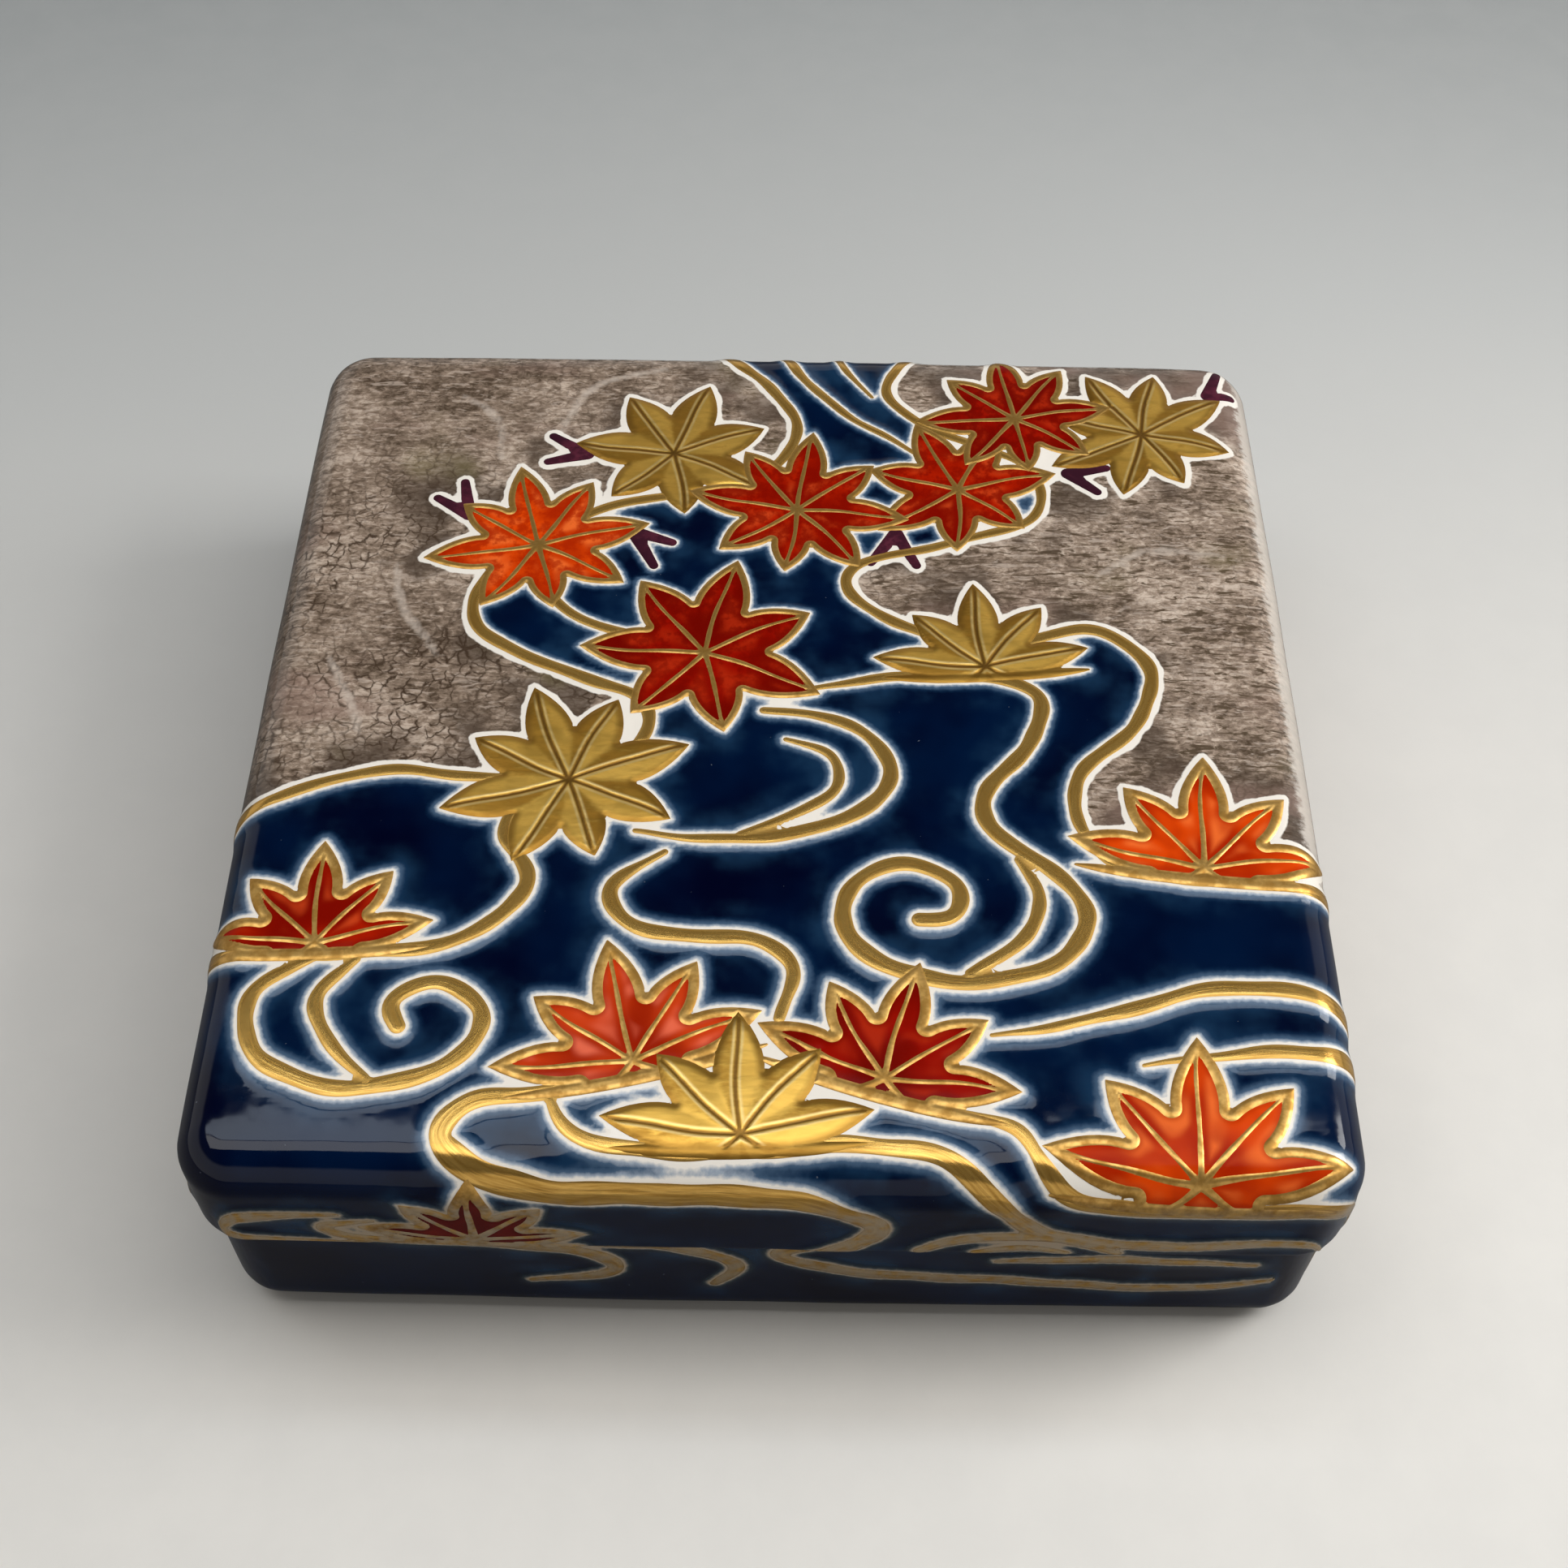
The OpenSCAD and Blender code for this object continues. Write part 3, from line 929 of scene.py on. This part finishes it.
# The lip colour is a painted highlight along the carved veins' lips
LEAF_GOLD_PATCH, LEAF_GOLD_LIP_HIGHLIGHT = (0.58, 0.31, 0.040), (0.98, 0.72, 0.28)
LEAF_GOLD_VEIN, LEAF_GOLD_EDGE = (0.20, 0.090, 0.012), (0.27, 0.130, 0.014)
MAROON = ((0.035, 0.008, 0.016), (0.085, 0.016, 0.03), (0.16, 0.04, 0.06))
# The leaves' enamels, each with its dark, main and light colour
ENAMELS = {
    "red": ((0.20, 0.003, 0.0002), (0.38, 0.010, 0.0005), (0.60, 0.060, 0.011)),
    "orange": ((0.38, 0.016, 0.0005), (0.68, 0.056, 0.002), (0.87, 0.16, 0.027)),
    "coral": ((0.30, 0.012, 0.001), (0.58, 0.046, 0.006), (0.84, 0.16, 0.080)),
    "wine": ((0.06, 0.002, 0.001), (0.12, 0.005, 0.003), (0.20, 0.014, 0.008)),
    "crimson": ((0.15, 0.002, 0.0002), (0.28, 0.004, 0.0005), (0.42, 0.022, 0.004)),
}
# The floor's painted shade, from the dark back to the pale front
SHEET = [
    (0, (0.30, 0.31, 0.305)), (0.42, (0.50, 0.50, 0.48)), (0.75, (0.68, 0.655, 0.61)),
    (1, (0.76, 0.73, 0.675)),
]
# Painted shade for the far right corner, and the sheet's fibres
SHEET_SHADED_CORNER, SHEET_FIBRE = (0.22, 0.225, 0.22), (0.50, 0.49, 0.47)

# Specular levels, of the lid's top and its walls where there are two, and the gold's metallic share
LID_GLOSS = (0.34, 0.14)
BASE_GLOSS = 0.25
ENAMEL_GLOSS = 0.05
GOLD_METAL = 0.78


def taupe_glaze(s, plan, gap):
    """Mottled taupe with short level streaks, dark smudges, pale scuffs and a fine broken crackle, and
    painted light that lightens it towards the right
    """
    x, y = s.attribute("plan_x"), s.attribute("plan_y")
    grain = s.noise(s.stretch(plan, (1.7, 2.7, 1)), 1, 4, 0.66, 0.5)
    cloud = s.noise(s.stretch(plan, (0.14, 0.24, 1), (3, 7, 0)), 1, 5, 0.66)
    streak = s.noise(s.stretch(plan, (0.65, 2.8, 1), (5, 2, 0)), 1, 4, 0.56, 1)
    base = s.layers(
        s.ramp(s.plus(s.times(grain, 0.52), s.times(cloud, 0.48)), TAUPE),
        (s.times(s.step(streak, 0.36, 0.47, 1, 0), s.step(x, -30, 20, 0.45, 1)), DARK_STREAK),
        (s.step(streak, 0.55, 0.64, 0, 0.6), PALE_STREAK))
    # Painted light: the taupe is lightened towards the right side, as if lit more from there
    base = s.mix(s.step(x, -6, 30), base, TAUPE_PAINTED_LIGHT_RIGHT, "MULTIPLY")
    smudge = s.step(s.noise(plan, 0.17, 3), 0.44, 0.57, 0, 0.8)
    pink = s.noise(s.stretch(plan, (0.5, 1, 1), (9, 4, 0)), 0.13, 3)
    olive = s.noise(s.stretch(plan, (1, 1, 1), (41, 13, 0)), 0.09, 2)
    wander = s.node("CombineXYZ", {"X": s.noise(plan, 0.7, 3), "Y": s.noise(plan, 1.1, 3)})
    web = s.mix(1.0, plan, s.mix(1.0, wander, (1.3, 1.0, 1.0), "MULTIPLY"), "ADD")
    broken = s.step(s.noise(plan, 1.1, 3), 0.36, 0.54)
    where = s.times(s.step(s.noise(plan, 0.10, 3), 0.40, 0.58, 0.35, 1), broken)
    where = s.times(s.times(where, s.step(x, 16, -14, 0.35, 1)), s.step(y, 26, 12, 0.45, 1))
    scuff = s.plus(s.attribute("scuff"), s.times(s.noise(plan, 1.6, 3), 0.7))
    return s.layers(
        base,
        (s.times(s.step(gap, 0.5, 4.5, 1, 0), smudge), SMUDGE),
        (s.step(pink, 0.54, 0.68, 0, 0.5), PINK),
        (s.step(olive, 0.60, 0.74, 0, 0.55), OLIVE),
        (s.times(s.cracks(web, 1.15, 0.14), where), CRACK),
        (s.step(scuff, 0.2, 0.7, 0.6, 0), SCUFF))


def navy_glaze(s, plan, gap):
    """Deep clouded navy that pales to a white bloom beside the slip lines"""
    run = s.attribute("edge_run")
    frayed = s.plus(gap, s.swing(s.noise(plan, 2.2, 3), 0.26))
    spread = s.step(s.noise(s.stretch(plan, (1, 1, 1), (17, 29, 0)), 0.24, 3), 0.42, 0.70, 0.05, 1)
    deep = s.layers(
        NAVY_DEEP,
        (s.step(s.noise(plan, 0.10, 3), 0.34, 0.68), NAVY_MID),
        (s.step(s.noise(plan, 3.1, 1), 0.80, 0.83, 0, 0.35), NAVY_SPECK),
        (s.times(spread, s.step(frayed, 0.2, 2.7, 0.9, 0)), NAVY_HAZE))
    width = s.times(s.step(s.attribute("plan_y"), -22, 14, 0.8, 1.3), s.step(run, 2, 5, 1, 1.5))
    reach = s.times(frayed, width)
    bloom = s.ramp(reach, BLOOM)
    dull = s.times(s.step(run, 2.5, 5), 0.85)
    bloom = s.mix(dull, bloom, s.mix(1.0, bloom, BLOOM_DULL, "MULTIPLY"))
    return s.mix(s.step(reach, 0.42, 0.95), bloom, deep)


def edge_wear_and_painted_light(s, plan, taupe):
    """Taupe with painted shade in brown along the left edge, and pale slip along the others that is
    partly wear and partly a painted highlight
    """
    x, run = s.attribute("plan_x"), s.attribute("edge_run")
    # Painted shade: the left edge is darkened to brown
    brown = s.times(s.step(run, 0, 3.5, 0, 0.72), s.step(x, -24, -34))
    taupe = s.mix(brown, taupe, SHADED_EDGE_BROWN)
    # Pale worn slip along the edges, with a painted highlight; left out on the shaded left edge
    torn = s.plus(run, s.swing(s.noise(s.stretch(plan, (1, 1.7, 1)), 1.5, 4, 0.62), 1.9))
    bare = s.times(s.step(torn, 0.9, 1.7, 0, 0.8), s.step(x, -33, -30))
    return s.mix(s.times(bare, s.step(torn, 2.6, 4, 1, 0)), taupe, BARE_SLIP_AND_HIGHLIGHT)


def outer_glaze():
    """The painted outside: navy water, taupe land, cream slip along the gold, and pale worn rims"""
    s = Shader("painted_glaze")
    plan, gap, run = s.plan(), s.attribute("gold_gap"), s.attribute("edge_run")
    taupe = edge_wear_and_painted_light(s, plan, taupe_glaze(s, plan, gap))
    border = s.plus(gap, s.swing(s.noise(plan, 0.8, 4), 0.52))
    taupe = s.mix(s.step(border, 0.33, 0.44, 1, 0), taupe, CREAM)
    colour = s.mix(s.step(s.attribute("water"), -0.1, 0.1, 1, 0), taupe, navy_glaze(s, plan, gap))
    worn = s.plus(s.attribute("rim_gap"), s.times(s.noise(plan, 0.9, 3), 0.30))
    colour = s.mix(s.step(worn, 0.19, 0.31, 0.85, 0), colour, WORN_RIM)
    below_seam = s.step(run, 9.6, 10.3, 0, BASE_GLOSS - LID_GLOSS[1])
    return s.finish(
        base_color=colour, roughness=s.step(s.noise(plan, 0.8, 3), 0.3, 0.7, 0.045, 0.10),
        normal=s.bump(s.noise(plan, 0.35, 2), 0.5, 0.00006),
        specular_ior_level=s.plus(s.step(run, 1.8, 3.6, *LID_GLOSS), below_seam))


def inner_glaze():
    """Plain ivory glaze with a faint crackle, for the tray and the lid's hollow"""
    s = Shader("ivory_glaze")
    place = s.place()
    tone = s.noise(place, 0.09, 4, 0.6)
    colour = s.mix(s.step(tone, 0.35, 0.68), IVORY_DARK, IVORY_PALE)
    broken = s.step(s.noise(place, 0.08), 0.4, 0.62, 0, 0.45)
    colour = s.mix(s.times(s.cracks(place, 0.30, 0.018), broken), colour, IVORY_CRACK)
    return s.finish(base_color=colour, roughness=s.step(tone, 0.3, 0.7, 0.10, 0.20),
                    normal=s.bump(s.noise(place, 0.5, 3), 0.4, 0.00006))


def bare_clay():
    """Unglazed buff stoneware with fine grit"""
    s = Shader("bare_clay")
    place = s.place()
    grain = s.noise(place, 2.6, 5, 0.7)
    colour = s.mix(s.step(s.noise(place, 1.4, 1), 0.70, 0.76, 0, 0.6), s.ramp(grain, CLAY), GRIT)
    return s.finish(base_color=colour, roughness=s.step(grain, 0.3, 0.7, 0.75, 0.92),
                    normal=s.bump(grain, 0.6, 0.00008))


def finish_gold(s, plan, colour, rough, bump):
    """Ends a gold material: metal that thins to the pale slip beneath it on the walls"""
    worn = s.step(s.noise(plan, 1.4, 3), 0.30, 0.62)
    share = s.times(worn, s.step(s.attribute("edge_run"), 2.5, 5, 0, 0.7))
    return s.finish(base_color=s.mix(share, colour, GOLD_SLIP), metallic=GOLD_METAL, roughness=rough,
                    normal=bump)


def line_gold():
    """Burnished gold strokes with faint brush drag along them and browner, thinner edges"""
    s = Shader("gold_strokes")
    plan, gap = s.plan(), s.attribute("gap")
    along, across = s.times(s.attribute("along"), 0.30), s.times(s.attribute("across"), 5)
    brush = s.noise(s.node("CombineXYZ", {"X": along, "Y": across}), 1, 4, 0.6)
    patch = s.noise(plan, 0.8, 2)
    colour = s.layers(
        GOLD_DARK,
        (s.step(brush, 0.34, 0.66), GOLD),
        (s.step(patch, 0.50, 0.70, 0, 0.45), GOLD_PATCH),
        (s.step(gap, -0.20, -0.02, 0, 0.6), GOLD_EDGE))
    rough = s.plus(s.step(brush, 0.3, 0.7, 0.265, 0.16), s.step(gap, -0.25, 0, 0, 0.2))
    rough = s.times(rough, s.step(s.attribute("edge_run"), 0, 1.5, 1, 0.6))
    return finish_gold(s, plan, colour, rough, s.bump(s.plus(brush, patch), 0.35, 0.00003))


def leaf_gold():
    """Gold outlines and veins of the red leaves, more ochre than the strokes"""
    s = Shader("gold_leaf_lines")
    plan = s.plan()
    patch = s.noise(plan, 1.2, 3, 0.55)
    colour = s.layers(
        OCHRE_DARK,
        (s.step(patch, 0.34, 0.66), OCHRE),
        (s.step(s.attribute("plan_y"), -8, 8, 0, 0.5), OCHRE_BACK))
    rough = s.step(patch, 0.3, 0.7, 0.42, 0.28)
    return finish_gold(s, plan, colour, rough, s.bump(patch, 0.3, 0.00004))


def whole_gold():
    """Leaves of solid gold: scratched veins, brush marks, darker lobes' edges, painted light and shade
    on the two halves of each lobe, and painted highlights towards the front and along the veins' lips
    """
    s = Shader("gold_leaves")
    plan, vein = s.plan(), s.attribute("vein")
    marks = s.noise(s.stretch(plan, (0.7, 2.0, 1)), 1, 3, 0.58, 0.3)
    patch = s.noise(plan, 0.30, 2)
    # Painted light and shade: one half of each lobe lighter and the other darker, mixed with the brush
    # marks, and a painted highlight towards the front
    lit = s.plus(s.step(s.attribute("side"), -0.9, 0.9, 0.36, 0), s.times(marks, 0.8))
    lit = s.plus(lit, s.step(s.attribute("plan_y"), -20, -28, 0, 0.14))
    # Painted highlight on the lips beside each carved vein
    lip = s.times(s.step(vein, 0.12, 0.24), s.step(vein, 0.24, 0.42, 1, 0))
    colour = s.layers(
        LEAF_GOLD_DARK,
        (s.step(lit, 0.36, 0.80), LEAF_GOLD),
        (s.step(patch, 0.42, 0.66, 0, 0.45), LEAF_GOLD_PATCH),
        (s.times(lip, 0.75), LEAF_GOLD_LIP_HIGHLIGHT),
        (s.step(vein, 0.05, 0.18, 0.9, 0), LEAF_GOLD_VEIN),
        (s.step(s.attribute("gap"), -0.70, -0.15, 0, 0.8), LEAF_GOLD_EDGE))
    rough = s.step(marks, 0.3, 0.7, 0.40, 0.285)
    return finish_gold(s, plan, colour, rough, s.bump(s.plus(marks, patch), 0.3, 0.00004))


def enamel(name, dark, main, light):
    """Glassy red enamel, pooled darker in places and rubbed lighter in others"""
    s = Shader(name)
    plan = s.plan()
    pool = s.noise(plan, 0.22, 1, 0.3)
    fine = s.noise(plan, 0.42, 1, 0.4, 0.3)
    halves = s.times(s.step(s.attribute("vein"), 0.25, 0.85), s.step(fine, 0.40, 0.66))
    mottle = s.step(s.noise(plan, 1.2, 4, 0.6), 0.40, 0.60, 0.75, 0)
    colour = s.layers(
        dark,
        (s.step(pool, 0.34, 0.62), main),
        (s.times(halves, 0.8), light),
        (s.step(fine, 0.44, 0.30, 0, 0.4), dark),
        (s.times(mottle, s.step(s.attribute("plan_y"), -12, 12)), dark),
        (s.step(s.attribute("gap"), -1.05, -0.55, 0, 0.6), dark))
    return s.finish(
        base_color=colour, roughness=s.step(fine, 0.3, 0.7, 0.18, 0.265),
        normal=s.bump(s.plus(fine, pool), 0.4, 0.00005), specular_ior_level=ENAMEL_GLOSS)


def floor_paper():
    """A pale sheet with painted shade: darker towards the back and in its far right corner, and a
    little paler to the right
    """
    s = Shader("pale_sheet")
    place = s.node("TexCoord", {}, "Object")
    x, y = (s.node("SeparateXYZ", {"Vector": place}, k) for k in (0, 1))
    tone = s.math("SUBTRACT", s.times(x, 0.12), y)
    shade = s.node("MapRange", {"Value": tone, "From Min": -FLOOR_DARK_AT, "From Max": FLOOR_PALE_AT})
    cloth = s.noise(place, 220, 4, 0.6)
    colour = s.layers(
        s.ramp(shade, SHEET),
        # Painted shade in the far right corner
        (s.step(s.plus(x, y), 0.10, 0.26, 0, 0.6), SHEET_SHADED_CORNER),
        (s.step(cloth, 0.3, 0.7, 0, 0.08), SHEET_FIBRE))
    reflected = s.node("LightPath", {}, "Is Glossy Ray")
    colour = s.mix(reflected, colour, s.mix(1.0, colour, (FLOOR_GHOST,) * 3, "MULTIPLY"))
    return s.finish(base_color=colour, roughness=0.55, normal=s.bump(cloth, 0.15, 0.0002))


# The painting's fields and its pieces

PAINTED = [Leaf(*row) for row in LEAVES]
SHORE_REACH = 2.0
SCUFF_REACH = 1.5
# Slip fills the cells between strokes that are narrower than this, in reach of this many grid steps
CHOKED = 0.38
ROOM_CELLS = 6


def widest(gap):
    """The widest gap within ROOM_CELLS of each grid point"""
    shifts = range(-ROOM_CELLS, ROOM_CELLS + 1)
    for axis in (0, 1):
        gap = np.maximum.reduce([np.roll(gap, k, axis) for k in shifts])
    return gap


def paint_plan():
    """Draws the banks, water lines, leaves and twigs on the whole plan"""
    edge = SEAM_AT + END_RUN - SEAM_RUN + 1
    grid = Grid((-edge, -edge), (edge, edge), PLAN_STEP)
    left, right = curve(LEFT_BANK), curve(RIGHT_BANK)
    lines = Strokes(grid, [left, right] + [curve(p) for p in WATER_LINES.values()])
    forks = [[(*fork, TWIG_W), (*tip, TWIG_TIP_W)] for fork, *tips in TWIGS for tip in tips]
    twigs = Strokes(grid, np.array(forks))
    leaves = np.minimum.reduce([leaf.cover(grid) for leaf in PAINTED])
    scuffs = Strokes(grid, [curve(p) for p in SCUFFS], SCUFF_REACH)
    banks = Strokes(grid, [bank * (1, 1, 0) for bank in (left, right)], SHORE_REACH)
    beyond = [(-edge * 2, -edge * 2), (edge * 2, -edge * 2)]
    stream = np.vstack([left[:, :2], beyond, right[::-1, :2]])
    shore = np.minimum(banks.gap, SHORE_REACH)
    water = np.where(grid.inside(stream), -shore, shore)
    gap = np.minimum.reduce([lines.gap, twigs.gap, leaves])
    room = np.clip((widest(gap) - CHOKED) / CHOKED, 0, 1)
    gap = np.where(gap > 0, gap * room, gap)
    return {"grid": grid, "lines": lines, "twigs": twigs, "leaves": leaves, "gap": gap,
            "water": water, "scuffs": scuffs.gap}


def plan_place(grid):
    """The attributes that say where on the plan a piece lies"""
    return {"plan_x": grid.X, "plan_y": grid.Y, "edge_run": run_of(grid.X, grid.Y)}


def paint_lines(plan):
    """The gold strokes, cut off just inside the leaves that lie over them, and the twigs"""
    grid, lines = plan["grid"], plan["lines"]
    gap = np.maximum(lines.gap, -(plan["leaves"] + DEEP_TUCK))
    height = SLIP_RISE + HEM + LINE_RISE * rounding(-gap, LINE_ROUND)
    values = {**plan_place(grid), "gap": gap, "along": lines.along, "across": lines.across}
    both_parts("gold_strokes", grid, gap, height, values, line_gold())
    gap = np.maximum(plan["twigs"].gap, -(np.minimum(plan["leaves"], lines.gap) + TUCK))
    height = SLIP_RISE + HEM + LINE_RISE * rounding(-gap, TWIG_ROUND)
    values = {**plan_place(grid), "gap": gap - 1, "vein": -gap}
    both_parts("twigs", grid, gap, height, values, enamel("maroon_enamel", *MAROON))


def paint_leaf(number, materials):
    """One leaf's gold and enamel, where no later leaf covers it"""
    leaf = PAINTED[number]
    grid = Grid(leaf.low - 1, leaf.high + 1, LEAF_STEP)
    whole, rest, ribs = leaf.gap(grid), leaf.rest(grid), leaf.veins(grid)
    cover = np.full(whole.shape, FAR)
    for later in PAINTED[number + 1:]:
        if (later.low < leaf.high).all() and (later.high > leaf.low).all():
            cover = np.minimum(cover, later.cover(grid))
    name = f"leaf_{number + 1:02d}"
    near = (ribs.gap < VEIN_REACH) & (whole < -0.15)
    vein = np.where(near, np.abs(ribs.across), VEIN_REACH)
    roof = LOBE_ROOF * np.clip(1 - vein / 2, 0, 1) * rounding(-whole, 0.8)
    # side marks the halves of each lobe that the gold leaves' painted light and shade follow
    values = {**plan_place(grid), "gap": whole, "vein": vein, "side": leaf.facets(grid)}
    if leaf.kind == "gold":
        gap = np.maximum(np.minimum(whole, rest), -(cover + TUCK))
        carved = (roof - GROOVE * np.exp(-(vein / GROOVE_W) ** 2)) * (whole < -0.2)
        height = SLIP_RISE + HEM + NET_RISE * rounding(-gap, GOLD_ROUND) + carved
        both_parts(f"{name}_gold", grid, gap, height, values, materials["gold"])
        return
    band = np.maximum(whole, -(leaf.star(grid) + leaf.outline))
    net = np.minimum(np.minimum(band, rest), np.maximum(ribs.gap, whole))
    net = np.maximum(net, -(cover + TUCK))
    height = SLIP_RISE + HEM + NET_RISE * rounding(-net, NET_ROUND)
    both_parts(f"{name}_gold", grid, net, height, values, materials["lines"])
    inner = np.maximum(whole + leaf.outline / 2, -(cover + DEEP_TUCK))
    height = SLIP_RISE + ENAMEL_RISE * rounding(-inner, ENAMEL_ROUND)
    both_parts(f"{name}_enamel", grid, inner, height, values, materials[leaf.kind])


def paint_leaves():
    """All leaves, each with the material of its kind"""
    materials = {"gold": whole_gold(), "lines": leaf_gold()}
    materials.update({kind: enamel(f"{kind}_enamel", *colours) for kind, colours in ENAMELS.items()})
    for number in range(len(PAINTED)):
        paint_leaf(number, materials)


# The stage: the floor, the light and the photograph's camera

CAMERA_ELEVATION = math.radians(53.68)
CAMERA_ROLL = math.radians(0.64)
CAMERA_YAW = math.radians(-0.34)
CAMERA_DISTANCE = 157.69
CAMERA_AIM = (0.36, 6.54)
CAMERA_LENS = 48.82
FLOOR_SIZE = 3.0
# Where the floor's painted shade is darkest and palest, and how dim the floor shows in reflections
FLOOR_DARK_AT = 0.125
FLOOR_PALE_AT = 0.035
FLOOR_GHOST = 0.23
# Lamps: place, size across and along, power, where they face, and tint
LAMPS = {
    "overhead_near": ((0.10, -0.007, 0.45), (0.90, 0.186), 1.32, (0.10, -0.007, 0), (1, 1, 1)),
    "overhead_far": ((0.10, 0.130, 0.45), (0.90, 0.062), 0.48, (0.10, 0.130, 0), (0.88, 0.99, 1.13)),
    "window": ((0.30, 0.04, 0.24), (0.16, 0.16), 0.62, (0, 0, 0), (1, 1, 1)),
}
# The world's light by direction: axis, where it starts and ends, and its strengths
WORLD_LEFT = ("X", -0.25, -0.9, 0.06, 0.34)
WORLD_RIGHT = ("X", 0.15, 0.85, 0.0, 0.65)
WORLD_LOW = ("Z", 0.62, 0.50, 0.0, 0.5)
WORLD_SHINE = 0.2
BACKDROP = 0.62


def place_camera():
    """The photograph's camera, aimed a little off the box's foot"""
    right = Vector((1, 0, 0))
    up = Vector((0, math.sin(CAMERA_ELEVATION), math.cos(CAMERA_ELEVATION)))
    back = right.cross(up)
    place = (right * CAMERA_AIM[0] + up * CAMERA_AIM[1] + back * CAMERA_DISTANCE) * MM
    data = bpy.data.cameras.new("camera")
    data.lens, data.sensor_width, data.clip_start = CAMERA_LENS, 36, 0.01
    camera = add_object("camera", data)
    axes = Matrix((right, up, back)).transposed().to_4x4()
    turned = Matrix.Rotation(-CAMERA_YAW, 4, "Z") @ Matrix.Translation(place) @ axes
    camera.matrix_world = turned @ Matrix.Rotation(CAMERA_ROLL, 4, "Z")
    bpy.context.scene.camera = camera


def light_lamps():
    """Two long soft panels over the box, and a smaller one to its right"""
    for name, (place, size, power, aim, tint) in LAMPS.items():
        data = bpy.data.lights.new(name, "AREA")
        data.shape, data.size, data.size_y = "RECTANGLE", *size
        data.energy, data.color = power, tint
        light = add_object(name, data)
        light.location = place
        if place[:2] != aim[:2]:
            light.rotation_euler = (Vector(aim) - Vector(place)).to_track_quat("-Z", "Y").to_euler()


def soft_world():
    """Soft light from both sides, dimmer where it is mirrored, and a pale ground for the camera"""
    world = bpy.data.worlds.new("world")
    bpy.context.scene.world = world
    world.use_nodes = True
    s = Nodes(world.node_tree)
    place = s.node("TexCoord", {})
    left, right, low = (s.step(s.node("SeparateXYZ", {"Vector": place}, axis), *values)
                        for axis, *values in (WORLD_LEFT, WORLD_RIGHT, WORLD_LOW))
    light = s.plus(left, right)
    shine = s.plus(s.times(light, WORLD_SHINE), low)
    strength = s.node("Mix", {0: s.node("LightPath", {}, "Is Glossy Ray"), 2: light, 3: shine})
    strength = s.node("Mix", {0: s.node("LightPath", {}, "Is Camera Ray"), 2: strength, 3: BACKDROP})
    ground = world.node_tree.nodes["Background"]
    s.feed(ground.inputs["Color"], (1.0, 0.985, 0.96))
    s.feed(ground.inputs["Strength"], strength)


def lay_floor():
    """The sheet under the box"""
    mesh = bpy.data.meshes.new("floor")
    h = FLOOR_SIZE / 2
    mesh.from_pydata([(-h, -h, 0), (h, -h, 0), (h, h, 0), (-h, h, 0)], [], [(0, 1, 2, 3)])
    mesh.materials.append(floor_paper())
    floor = add_object("floor", mesh)


def main():
    """Builds the stage, the two shells and the painting"""
    place_camera()
    light_lamps()
    soft_world()
    lay_floor()
    plan = paint_plan()
    materials = [outer_glaze(), bare_clay(), inner_glaze()]
    shells = ((build_lid, "lid", "taupe_crackle_glaze"), (build_base, "base", "navy_glaze"))
    for build, node, slot in shells:
        shell_piece = build(plan, materials)
        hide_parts(node)
    paint_lines(plan)
    paint_leaves()


main()
bpy.context.scene.view_settings.view_transform = "Standard"
